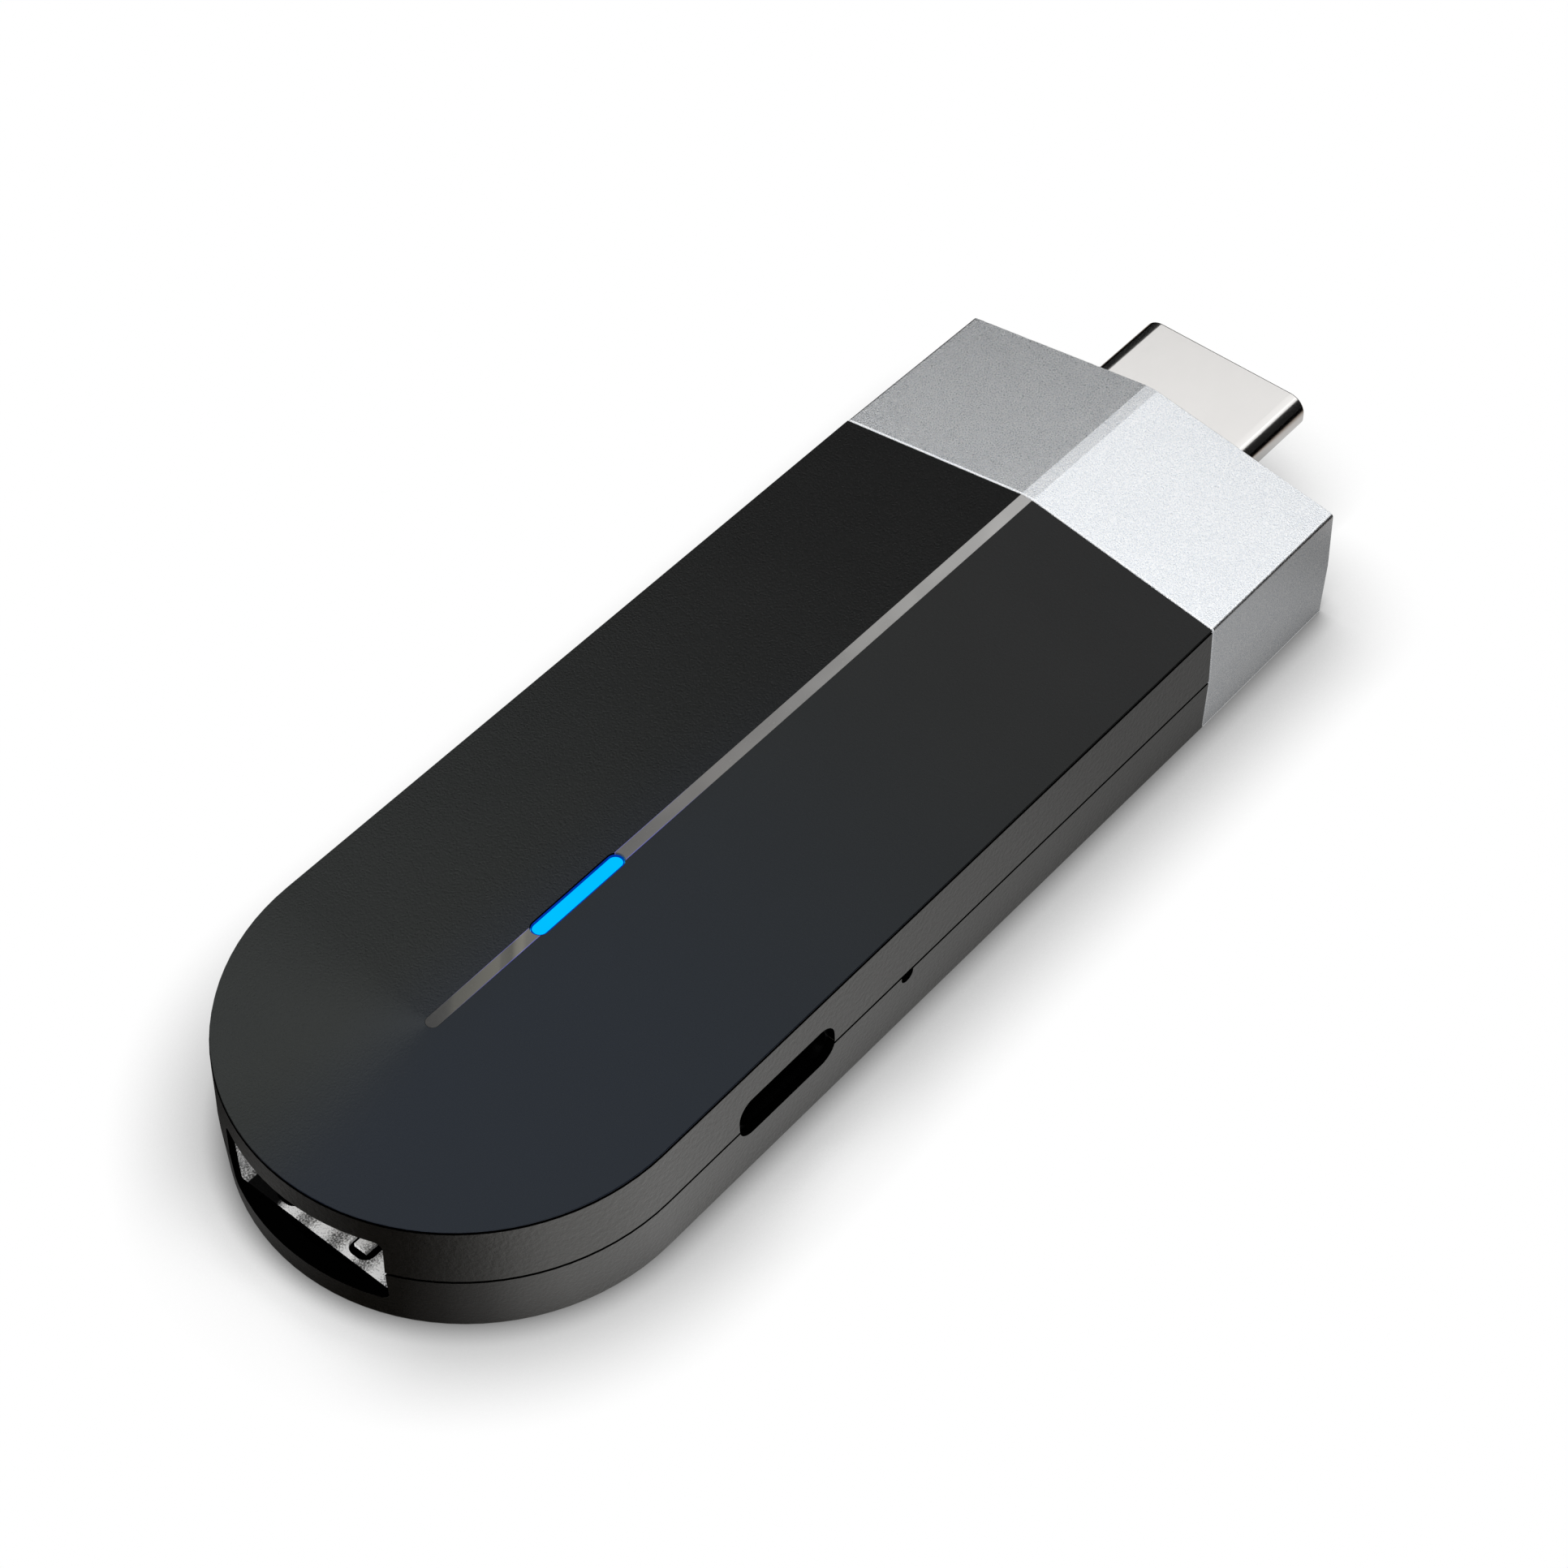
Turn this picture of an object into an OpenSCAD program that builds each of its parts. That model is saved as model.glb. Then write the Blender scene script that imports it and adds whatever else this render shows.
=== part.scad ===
// Streaming media stick: a low case of three shells with a gabled roof and one round end, a
// metal cap over the plug end, and the board, sockets, plug, lamp and switch that it holds.
// Length runs along X with the plug towards +X, and the underside lies on Z = 0.

/* [Case] */
// Width across the parting line
body_w = 31.84; // [31:0.01:36]
// Length from the round tip to the cap
body_len = 70.98; // [70:0.01:80]
// Height of the ridge
ridge_h = 12.05; // [11.8:0.05:14]
// Height of the eaves, where roof and side meet
eave_h = 9.63; // [9.3:0.01:10.6]
// Height of the parting line between the frame and the lower shell
parting_h = 4.68; // [4.6:0.01:5.2]
// How far each side leans in from the parting line to the eave
side_draft = 0.17; // [0.05:0.01:0.3]
// How far each side leans in from the parting line to the underside
base_draft = 0.12; // [0.05:0.01:0.3]
// Width of the flat ridge and its inlaid strip
ridge_w = 0.97; // [0.8:0.01:1.4]
// How far the ridge runs on past the centre of the round end
ridge_reach = 2.92; // [1:0.01:5]
// Wall of the frame and the lower shell
wall = 1.2; // [1:0.05:1.4]
// Thickness of the top cover
roof_t = 1.1; // [0.9:0.05:1.2]
// Height of the reveal between the frame and the lower shell
reveal = 0.22; // [0.1:0.01:0.3]
// Height of the reveal between the top cover and the frame
eave_gap = 0.17; // [0.1:0.01:0.3]
// How far the top cover's rim stands back from the frame
cover_inset = 0.05; // [0:0.01:0.2]

/* [Cap] */
// Length of the cap
cap_len = 14.41; // [13:0.01:17]
// Wall of the cap
cap_wall = 1; // [0.8:0.05:1.1]
// Thickness of the cap's end wall
cap_end_t = 1.2; // [0.8:0.05:2]
// How far the cap narrows on each side by its end
cap_taper = 0.13; // [0:0.01:0.3]
// How far the cap's ridge falls by its end
cap_fall = 0.14; // [0:0.01:0.3]
// Fine chamfer round the cap's two rims
cap_chamfer = 0.16; // [0.05:0.01:0.3]
// Radius of the cap's eaves
cap_round = 0.3; // [0.1:0.01:0.5]
// Hairline between the case and the cap
cap_gap = 0.04; // [0.02:0.01:0.15]
// Fit between the cap and the neck of the case
cap_fit = 0.1; // [0.05:0.01:0.2]

/* [Video plug] */
// Width of the plug
plug_w = 13.9; // [13.5:0.05:14.2]
// Height of the plug
plug_h = 4.45; // [4.3:0.05:4.6]
// How far the plug stands out of the cap
plug_out = 9.33; // [8:0.01:12]
// Height of the plug's upright sides, from its top
plug_side = 1.98; // [1.5:0.01:2.4]
// Width of the plug's base, between its slanted corners
plug_base_w = 10.4; // [9.5:0.1:11.5]
// Radius of the plug's upper corners
plug_r = 0.75; // [0.4:0.01:0.9]
// Sheet of the plug's shell
plug_t = 0.3; // [0.2:0.01:0.35]

/* [Data socket] */
// Width of the socket's shell
data_w = 13.1; // [12.8:0.05:13.4]
// Height of the socket's shell
data_h = 5.7; // [5.5:0.05:5.8]
// Length of the socket's shell
data_len = 14; // [12:0.1:14.2]
// Distance from the round tip to the shell's front edge
data_setback = 1.79; // [1.5:0.01:2.5]
// Height of the middle of the socket
data_z = 4.75; // [4.7:0.01:5]
// Offset of the socket from the middle of the case
data_shift = 0.15; // [-0.2:0.01:0.3]
// Sheet of the socket's shell
data_t = 0.3; // [0.2:0.01:0.35]

/* [Power socket] */
// Width of the socket's shell
power_w = 8.94; // [8.8:0.01:9.2]
// Height of the socket's shell
power_h = 3.16; // [3.05:0.01:3.3]
// Depth of the socket's shell
power_len = 7.35; // [6.8:0.05:8]
// Distance from the round end's centre to the middle of the socket
power_x = 11.11; // [10:0.01:12]
// Height of the middle of the socket
power_z = 5.23; // [5.22:0.01:5.6]
// Depth of the shell's front edge behind the parting line
power_setback = 0.5; // [0.3:0.01:1]
// Sheet of the socket's shell
power_t = 0.28; // [0.2:0.01:0.32]

/* [Status window] */
// Length of the window
lens_len = 8.14; // [6:0.01:10]
// Width of the window
lens_w = 1.29; // [1.1:0.01:1.6]
// Distance from the round end's centre to the middle of the window
lens_x = 9.95; // [8.5:0.01:11]
// Depth of the lens below the ridge
lens_recess = 0.26; // [0.1:0.01:0.5]

/* [Board] */
// Thickness of the board
board_t = 1; // [0.8:0.05:1.1]
// Height of the board's top face
board_z = 3.6; // [3.5:0.01:3.62]
// Gap between the board and the walls round it
board_gap = 0.5; // [0.3:0.05:0.7]

/* [Reset switch] */
// Distance from the round end's centre to the pinhole
pin_x = 22.79; // [21.6:0.01:23]
// Width of the pinhole
pin_d = 1.15; // [0.9:0.01:1.4]
// Depth of the pinhole's round bottom below the parting line
pin_drop = 0.88; // [0.7:0.01:1]
// Travel of the plunger
press_travel = 0.25; // [0.15:0.01:0.3]

/* [Hidden] */
$fn = 96;
arc_steps = 8;

// Overrun of every cut, and a slice thin enough to act as an edge in a hull
over = 0.5;
thin = 0.01;

// Case: half widths at the parting line, at eave and underside, and inside
half_p = body_w / 2;
half_e = half_p - side_draft;
half_b = half_p - base_draft;
half_c = half_e - cover_inset;
half_in = half_e - wall;
seam_x = body_len - half_p;
ridge_half = ridge_w / 2;
slope = (ridge_h - eave_h) / (half_c - ridge_half);
lower_top = parting_h - reveal / 2;
upper_low = parting_h + reveal / 2;
lip_t = 0.5;
lip_h = 0.8;
lip_fit = 0.08;
lip_top = lower_top + lip_h;
rim_t = 0.06;
rim_low = eave_h - rim_t;
rim_chamfer = 0.04;
frame_top = rim_low - eave_gap;
seat_z = frame_top - lip_h;
skirt_half = half_in + lip_t;
skirt_in = skirt_half - 0.85;
cover_fit = 0.08;

// Cap and the neck of the case inside it
cap_x0 = seam_x + cap_gap;
cap_x1 = seam_x + cap_len;
cap_eave_fall = cap_fall / 4;
cap_half = half_c - cap_taper;
cap_ridge = ridge_h - cap_fall;
cap_slope = (cap_ridge - eave_h + cap_eave_fall) / (cap_half - ridge_half);
hollow_half = cap_half - cap_wall;
neck_half = hollow_half - cap_fit;
neck_low = cap_wall + cap_fit;
neck_wall = 1;
neck_in = neck_half - neck_wall;
neck_x1 = cap_x1 - cap_end_t - cap_fit;
gate_t = 1.2;
gate_fit = 0.05;

// Board
board_low = board_z - board_t;
board_half = half_in - board_gap;
board_x1 = seam_x - wall - board_gap;
tail_half = neck_in - board_gap;
tail_len = 6.9;
tail_x1 = seam_x + tail_len;

// Video plug, soldered on the board
solder = 0.07;
plug_low = board_z + solder;
plug_top = plug_low + plug_h;
plug_x1 = cap_x1 + plug_out;
plug_seat = 2.5;
plug_x0 = tail_x1 - plug_seat;
plug_fit = 0.15;
plug_core_recess = 0.7;
plug_slot_w = 11.4;
plug_slot_h = 1.9;
plug_slot_len = 7;
plug_slot_share = 0.56;
plug_slot_z = plug_low + plug_h * plug_slot_share;
plug_pin_w = 0.32;
plug_pin_t = 0.2;
plug_pin_pitch = 1;
plug_pins_upper = 10;
plug_pins_lower = 9;
plug_foot = 1.4;
pin_gap = 0.02;

// Data socket, let into the board
data_x0 = data_setback - half_p;
data_x1 = data_x0 + data_len;
data_r = 0.55;
data_fit = 0.06;
data_spring_y = 3.03;
data_window_w = 1.92;
data_window_len = 7;
data_window_from = 0.36;
data_finger_w = 1;
data_finger_gap = 0.5;
data_finger_rise = 0.3;
data_wing_w = 1.3;
data_wing_len = 2;
data_core_len = 4;
data_tongue_w = 11.1;
data_tongue_t = 1.84;
data_tongue_len = 8.9;
data_tongue_drop = 0.72;
data_pin_w = 1.1;
data_pin_t = 0.2;
data_pin_inner = 1;
data_pin_outer = 3.5;
data_cut_gap = 0.3;

// Power socket, on the board's edge
power_y0 = power_setback - half_p;
power_y1 = power_y0 + power_len;
power_fit = 0.05;
power_mouth_r = 1.3;
power_core_len = 2.2;
power_tongue_w = 6.69;
power_tongue_t = 0.7;
power_tongue_len = 4.4;
power_pin_w = 0.25;
power_pin_t = 0.06;
power_pin_pitch = 0.5;
power_pins = 12;
power_leg_w = 0.9;
power_leg_t = 0.25;

// Status window
strip_t = 0.5;
strip_gap = 0.02;
lens_gap = 0.03;
lens_flange = 1;
lens_flange_t = 0.6;
lens_flange_top = ridge_h - slope * (lens_w / 2 + lens_flange - ridge_half) - roof_t - lip_fit;
led_h = 0.6;
led_gap = 0.3;
lens_low = board_z + led_h + led_gap;
led_l = 1.6;
led_w = 0.8;
led_shift = 2.2;
shield_wall = 1;
shield_gap = 0.25;
shield_h = 3;

// Chips and small parts on the board, laid out in the bay behind the status window
bay_gap = 0.73;
bay_x0 = lens_x + lens_len / 2 + shield_gap + shield_wall + bay_gap;
bay_len = board_x1 - bay_x0;
chip_side = bay_len * 0.4;
chip_x = bay_x0 + bay_len * 0.455;
chip_t = 1.2;
pad_t = 0.6;
pad_inset = 0.5;
spreader_l = chip_side * 1.7;
spreader_edge = 3.55;
spreader_w = 2 * (half_in - spreader_edge);
spreader_base = 1;
spreader_fin_h = 1.5;
spreader_fin_t = 0.8;
spreader_fins = 7;
storage_l = bay_len * 0.3;
storage_x = bay_x0 + bay_len * 0.776;
storage_w = 13;
storage_t = 1;
power_chip_side = bay_len * 0.13;
power_chip_x = bay_x0 + bay_len * 0.8;
power_chip_y = 4;
power_chip_t = 0.9;
coils = 3;
coil_split = 0.9;
coil_edge = 1.8;
coil_pitch = (board_half - coil_edge) / (coils - 1 / 2);
coil_side = coil_pitch - coil_split;
coil_x = bay_x0 + bay_len * 0.948;
coil_t = 1.8;
coil_r = 0.5;
capacitor_l = 1.6;
capacitor_w = 0.8;
capacitor_pitch = chip_side * 0.16;
capacitor_count = 7;
crystal_l = 3.2;
crystal_w = 2.5;
crystal_t = 0.8;
crystal_x = bay_x0 + bay_len * 0.752;
radio_gap = 1.05;
radio_edge = 0.5;
radio_y0 = lens_w / 2 + shield_gap + shield_wall + radio_gap;
radio_w = board_half - radio_edge - radio_y0;
radio_l = 10;
radio_t = 1.6;
radio_x = 7.5;
antenna_l = 5;
antenna_w = 1.8;
antenna_t = 1.1;
antenna_x = -2;
antenna_edge = 2.05;
antenna_y = board_half - antenna_edge;

// Reset switch
pin_low = parting_h - pin_drop;
pin_r = pin_d / 2;
press_z = (pin_low + lower_top) / 2;
reset_w = 3.6;
reset_d = 2.6;
reset_h = 1.5;
reset_wall = 0.4;
reset_inset = 0.1;
reset_y0 = -board_half + reset_inset;
reset_y1 = reset_y0 + reset_d;
plunger_w = 1.5;
plunger_h = 0.7;
plunger_fit = 0.05;
plunger_flange = 0.3;
plunger_flange_t = 0.5;
plunger_tip = -half_in + 0.3;
dome_t = 0.08;
dome_gap = 0.1;
dome_h = 0.8;
dome_rise = 0.12;
cover_t = 0.15;

// Memory chips, between the switch and the far edge of the board
memory_l = bay_len * 0.214;
memory_x = bay_x0 + bay_len * 0.12;
memory_t = 1;
memory_clear = 2.15;
memory_edge = 0.35;
memory_split = 0.9;
memory_w = (board_half - memory_edge - reset_y1 - memory_clear - memory_split) / 2;
memory_y = board_half - memory_edge - memory_w / 2;
memory_pitch = memory_w + memory_split;

// Screws, locating pins, clamping posts and snap hooks
boss_r = 1.9;
screw_r = 0.5;
screw_head_r = 1.5;
screw_head_h = 0.8;
screw_depth = 1;
screw_cross = 0.3;
screw_cross_l = 1.6;
screw_play = 0.3;
pilot_gap = 0.05;
peg_r = 0.6;
peg_gap = 0.06;
peg_boss_r = 1.4;
fix_back = 5.4;
fix_fore = 2.2;
fix_edge = 3.05;
fix_x = board_x1 - fix_back;
fix_y = board_half - fix_edge;
crystal_gap = 3.5;
crystal_y = fix_y - crystal_gap;
screws = [[fix_x, fix_y], [data_x1 + fix_fore, -fix_y + screw_r]];
data_cut_y = data_shift + data_w / 2 + data_cut_gap;
peg_x = -6.5;
peg_y = (data_cut_y + sqrt(board_half * board_half - peg_x * peg_x)) / 2;
pegs = [[fix_x, -fix_y], [peg_x, peg_y]];
post_r = 1;
post_gap = 0.08;
hook_ahead = 5;
hook_back = 5.5;
hook_xs = [pin_x + hook_ahead, board_x1 - hook_back];
post_x = (hook_xs[0] + hook_xs[1]) / 2;
post_y = half_in - board_gap - post_r - lip_t;
capacitor_y = (chip_side / 2 + post_y - post_r) / 2;
hook_w = 4;
hook_t = 0.7;
hook_play = 0.15;
hook_catch = 0.45;
hook_h = 0.7;
hook_low = board_low - hook_h;
hook_root = lip_top + 0.2;
hook_root_h = 1;

// Vent slots in the underside
vent_l = 8;
vent_w = 0.8;
vent_pitch = 2;
vents = 9;
vent_y = 6.2;

// Distance from the round end's centre to the middle of the whole stick
mid_x = (plug_x1 - half_p) / 2;

case_black = [0.13, 0.13, 0.135];
cap_silver = [0.8, 0.82, 0.85];
strip_grey = [0.52, 0.5, 0.48];
lens_blue = [0, 0.6, 1];
nickel = [0.85, 0.84, 0.82];
gold = [0.85, 0.68, 0.3];
resin_black = [0.06, 0.06, 0.06];
board_green = [0.05, 0.22, 0.14];

// Puts the stick's middle on the origin
module stick() translate([-mid_x, 0, 0]) children();

// A 2D shape in (Y, Z) carried along X
module along_x(x0, x1) translate([x0, 0, 0]) rotate([90, 0, 90]) linear_extrude(x1 - x0) children();

// A 2D shape in (X, Z) carried along Y
module along_y(y0, y1) translate([0, y1, 0]) rotate([90, 0, 0]) linear_extrude(y1 - y0) children();

// A box centred on x and y, standing on z
module block(x, y, z, l, w, h) translate([x - l / 2, y - w / 2, z]) cube([l, w, h]);

function arc(cx, cy, r, a0, a1) =
    [for (k = [0:arc_steps]) let (a = a0 + (a1 - a0) * k / arc_steps) [cx + r * cos(a), cy + r * sin(a)]];

// A rectangle with round corners, centred on (cx, cy)
function round_rect(cx, cy, w, h, r) = concat(
    arc(cx + w / 2 - r, cy - h / 2 + r, r, -90, 0), arc(cx + w / 2 - r, cy + h / 2 - r, r, 0, 90),
    arc(cx - w / 2 + r, cy + h / 2 - r, r, 90, 180), arc(cx - w / 2 + r, cy - h / 2 + r, r, 180, 270));

// The stick's plan: a half disc of the given radius and a straight stretch to x1
module plan(r, x1) {
    circle(r);
    translate([0, -r]) square([x1, 2 * r]);
}

// The plan raised from z0 to z1, with its half width changing from r0 to r1
module drafted(z0, z1, r0, r1, x1) {
    translate([0, 0, z0]) cylinder(h = z1 - z0, r1 = r0, r2 = r1);
    along_x(0, x1) polygon([[-r0, z0], [r0, z0], [r1, z1], [-r1, z1]]);
}

// How far the roof's half cone has moved towards the tip at height z
function lean(z) = ridge_reach * (z - eave_h) / (ridge_h - eave_h);

// One level of the roof: its plan at a rise above the eaves
module roof_level(rise, r, x1)
    translate([-lean(eave_h + rise), 0, eave_h + rise - thin]) linear_extrude(thin)
        plan(r, x1 + lean(eave_h + rise));

// The roof and everything below it down to low, lowered by drop
module roof(low, drop, chamfer, x1) translate([0, 0, -drop]) hull() {
    translate([0, 0, low + drop]) linear_extrude(eave_h - chamfer - low - drop) plan(half_c, x1);
    roof_level(slope * chamfer, half_c - chamfer, x1);
    roof_level(ridge_h - eave_h, ridge_half, x1);
}

// The section of the neck inside the cap, shrunk by inset
function neck_section(inset) = let (
    h = neck_half - inset,
    top = cap_ridge - cap_wall - cap_fit - inset,
    side = top - cap_slope * (h - ridge_half))
    [[-h, neck_low + inset], [h, neck_low + inset], [h, side],
        [ridge_half, top], [-ridge_half, top], [-h, side]];

// Outline of the video plug in (Y, Z), grown by g
function plug_outline(g) = let (
    w = plug_w / 2 + g, b = plug_base_w / 2 + g, r = plug_r + g, top = plug_top + g, low = plug_low - g)
    concat([[-b, low], [b, low], [w, plug_top - plug_side]], arc(w - r, top - r, r, 0, 90),
        arc(r - w, top - r, r, 90, 180), [[-w, plug_top - plug_side]]);

function data_outline(g) = round_rect(data_shift, data_z, data_w + 2 * g, data_h + 2 * g, data_r + g);

function power_outline(g) =
    round_rect(power_x, power_z, power_w + 2 * g, power_h + 2 * g, (power_h + 2 * g) / 2 - thin);

// The mouths of the two sockets, cut in both shells
module socket_mouths() {
    along_x(-half_p - over, -half_in + data_w / 4) polygon(data_outline(data_fit));
    along_y(-half_p - over, -half_in + over)
        polygon(round_rect(power_x, power_z,
            power_w + 2 * power_fit, power_h + 2 * power_fit, power_mouth_r));
}

// Wall across the neck that the plug passes through, between z0 and z1
module plug_gate(z0, z1) difference() {
    intersection() {
        along_x(neck_x1 - gate_t, neck_x1) polygon(neck_section(0));
        block((neck_x1 + seam_x) / 2, 0, z0, cap_len, body_w, z1 - z0);
    }
    along_x(neck_x1 - gate_t - over, neck_x1 + over) polygon(plug_outline(gate_fit));
}

// Clearance slots or the window itself, at the ridge
module window(grow, z0, z1) translate([0, 0, z0]) linear_extrude(z1 - z0)
    polygon(round_rect(lens_x, 0, lens_len + 2 * grow, lens_w + 2 * grow, lens_w / 2 + grow - thin));

module strip_plan(grow, x1) {
    translate([-ridge_reach, 0]) circle(ridge_half + grow);
    translate([-ridge_reach, -ridge_half - grow]) square([x1 + ridge_reach, ridge_w + 2 * grow]);
}

module top_cover() color(case_black) stick() {
    difference() {
        union() {
            roof(rim_low, 0, rim_chamfer, seam_x);
            translate([0, 0, seat_z]) linear_extrude(rim_low - seat_z + thin) plan(skirt_half, seam_x);
        }
        intersection() {
            roof(seat_z - over, roof_t, 0, seam_x);
            translate([0, 0, seat_z - over]) linear_extrude(ridge_h) plan(skirt_in, seam_x - wall);
        }
        along_x(seam_x - wall - cover_fit, seam_x + over) polygon(neck_section(-cover_fit));
        translate([0, 0, ridge_h - strip_t]) linear_extrude(over + strip_t) strip_plan(0, seam_x + over);
        window(0, ridge_h - roof_t - over, ridge_h + over);
    }
    for (side = [-1, 1]) translate([post_x, side * post_y, board_z + post_gap])
        cylinder(h = ridge_h - slope * post_y - roof_t / 2 - board_z - post_gap, r = post_r);
}

module middle_frame() color(case_black) stick() {
    difference() {
        union() {
            drafted(upper_low, frame_top, half_p, half_e, seam_x);
            intersection() {
                along_x(seam_x - wall, neck_x1) polygon(neck_section(0));
                block(seam_x, 0, upper_low, body_len, body_w, ridge_h);
            }
        }
        translate([0, 0, upper_low - over]) linear_extrude(ridge_h) plan(half_in, seam_x - wall);
        translate([0, 0, upper_low - over]) linear_extrude(lip_top + over - upper_low)
            plan(half_in + lip_t + lip_fit, seam_x - wall);
        difference() {
            translate([0, 0, seat_z]) linear_extrude(ridge_h) plan(skirt_half + cover_fit, seam_x + thin);
            along_x(seam_x - wall, seam_x + over) polygon(neck_section(0));
        }
        along_x(seam_x - wall - over, neck_x1 + over) polygon(neck_section(neck_wall));
        along_x(plug_x0 - over, neck_x1 + over) polygon(plug_outline(plug_fit));
        socket_mouths();
    }
    plug_gate(upper_low, ridge_h);
    for (side = [-1, 1], x = hook_xs) snap_hook(x, side);
}

// A tongue that reaches down from the frame and catches under a ledge of the lower shell
module snap_hook(x, side) {
    y0 = half_in - hook_catch - hook_play - hook_t;
    along_x(x - hook_w / 2, x + hook_w / 2) scale([side, 1]) polygon([
        [y0, hook_low], [y0 + hook_t, hook_low], [half_in - hook_play, hook_low + hook_h / 2],
        [half_in - hook_play, hook_low + hook_h], [y0 + hook_t, hook_low + hook_h],
        [y0 + hook_t, hook_root], [half_in + lip_t / 2, hook_root],
        [half_in + lip_t / 2, hook_root + hook_root_h], [y0, hook_root + hook_root_h]]);
}

module snap_ledge(x, side) {
    z0 = hook_low + hook_h + hook_play;
    along_x(x - hook_w / 2, x + hook_w / 2) scale([side, 1]) polygon([
        [half_in + lip_t / 2, z0], [half_in - hook_catch, z0], [half_in - hook_catch, z0 + hook_h / 2],
        [half_in, z0 + hook_h], [half_in + lip_t / 2, z0 + hook_h]]);
}

module lower_shell() color(case_black) stick() {
    difference() {
        union() {
            drafted(0, lower_top, half_b, half_p, seam_x);
            translate([0, 0, lower_top]) linear_extrude(lip_h) plan(half_in + lip_t, seam_x - wall);
            intersection() {
                along_x(seam_x - wall, neck_x1) polygon(neck_section(0));
                block(seam_x, 0, 0, body_len, body_w, lower_top);
            }
        }
        translate([0, 0, wall]) linear_extrude(ridge_h) plan(half_in, seam_x - wall);
        along_x(seam_x - wall - over, neck_x1 + over) polygon(neck_section(neck_wall));
        socket_mouths();
        translate([pin_x, 0, 0]) along_y(-half_p - over, -half_in + over) {
            translate([0, pin_low + pin_r]) circle(pin_r);
            translate([-pin_r, pin_low + pin_r]) square([pin_d, lower_top - pin_low - pin_r]);
        }
        for (k = [0:vents - 1], side = [-1, 1])
            translate([chip_x + (k - (vents - 1) / 2) * vent_pitch, side * vent_y, -over])
                linear_extrude(wall + 2 * over) polygon(round_rect(0, 0, vent_w, vent_l, vent_w / 2 - thin));
    }
    plug_gate(neck_low, lower_top);
    for (p = screws) translate([p[0], p[1], wall]) difference() {
        translate([0, 0, -thin]) cylinder(h = board_low - wall + thin, r = boss_r);
        translate([0, 0, board_low - wall - screw_depth - pilot_gap])
            cylinder(h = screw_depth + over, r = screw_r + pilot_gap);
    }
    for (p = pegs) translate([p[0], p[1], wall - thin]) {
        cylinder(h = board_low - wall + thin, r = peg_boss_r);
        cylinder(h = board_z - wall + thin, r = peg_r);
    }
    for (side = [-1, 1], x = hook_xs) snap_ledge(x, side);
}

// One section of the cap where its length reaches x, drawn in by inset
function cap_section(x, inset) = let (
    t = (x - cap_x0) / (cap_x1 - cap_x0),
    top = ridge_h - cap_fall * t - inset,
    b = half_b - cap_taper * t - inset,
    p = half_p - cap_taper * t - inset,
    e = half_e - cap_taper * t - inset,
    side = atan((p - e) / (eave_h - parting_h)),
    tilt = atan((ridge_h - eave_h) / (half_c - ridge_half)),
    eave = top - (e - ridge_half) * tan(tilt),
    drop = cap_round * tan((90 - side - tilt) / 2),
    right = arc(e - cap_round * cos(side), eave - drop - cap_round * sin(side), cap_round, side, 90 - tilt))
    concat([[x, -b, inset], [x, b, inset], [x, p, parting_h]],
        [for (q = right) [x, q[0], q[1]]],
        [[x, ridge_half, top], [x, -ridge_half, top]],
        [for (k = [len(right) - 1:-1:0]) [x, -right[k][0], right[k][1]]],
        [[x, -p, parting_h]]);

// A closed solid through a row of sections with equal counts of points
module loft(sections) {
    n = len(sections[0]);
    last = len(sections) - 1;
    polyhedron(
        points = [for (s = sections, p = s) p],
        faces = concat([[for (k = [n - 1:-1:0]) k]], [[for (k = [0:n - 1]) last * n + k]],
            [for (s = [0:last - 1], k = [0:n - 1])
                [s * n + k, s * n + (k + 1) % n, (s + 1) * n + (k + 1) % n, (s + 1) * n + k]]));
}

module end_cap() color(cap_silver) stick() difference() {
    loft([cap_section(cap_x0, cap_chamfer), cap_section(cap_x0 + cap_chamfer, 0),
        cap_section(cap_x1 - cap_chamfer, 0), cap_section(cap_x1, cap_chamfer)]);
    along_x(cap_x0 - over, cap_x1 - cap_end_t) polygon(neck_section(-cap_fit));
    along_x(cap_x1 - cap_end_t - over, cap_x1 + over) polygon(plug_outline(plug_fit));
}

// The inlaid strip between x0 and x1, cut round the status window
module strip(x0, x1) color(strip_grey) stick() difference() {
    translate([0, 0, ridge_h - strip_t + strip_gap]) linear_extrude(strip_t - strip_gap)
        intersection() {
            strip_plan(-strip_gap, x1);
            translate([x0, -body_w / 2]) square([x1 - x0, body_w]);
        }
    window(strip_gap, 0, ridge_h + over);
}
module long_strip() strip(lens_x, seam_x);
module short_strip() strip(-ridge_reach - ridge_w, lens_x);

module status_lens() color(lens_blue) stick() {
    window(-lens_gap, lens_low, ridge_h - lens_recess);
    block(lens_x, 0, lens_flange_top - lens_flange_t, lens_len + 2 * lens_flange,
        lens_w + 2 * lens_flange, lens_flange_t);
}

module light_shield() color(resin_black) stick() difference() {
    inner = shield_gap;
    outer = shield_gap + shield_wall;
    block(lens_x, 0, board_z, lens_len + 2 * outer, lens_w + 2 * outer, shield_h);
    block(lens_x, 0, board_z - over, lens_len + 2 * inner, lens_w + 2 * inner, shield_h + 2 * over);
}

module status_leds() color("white") stick() for (side = [-1, 1])
    block(lens_x + side * led_shift, 0, board_z, led_l, led_w, led_h);

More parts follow.
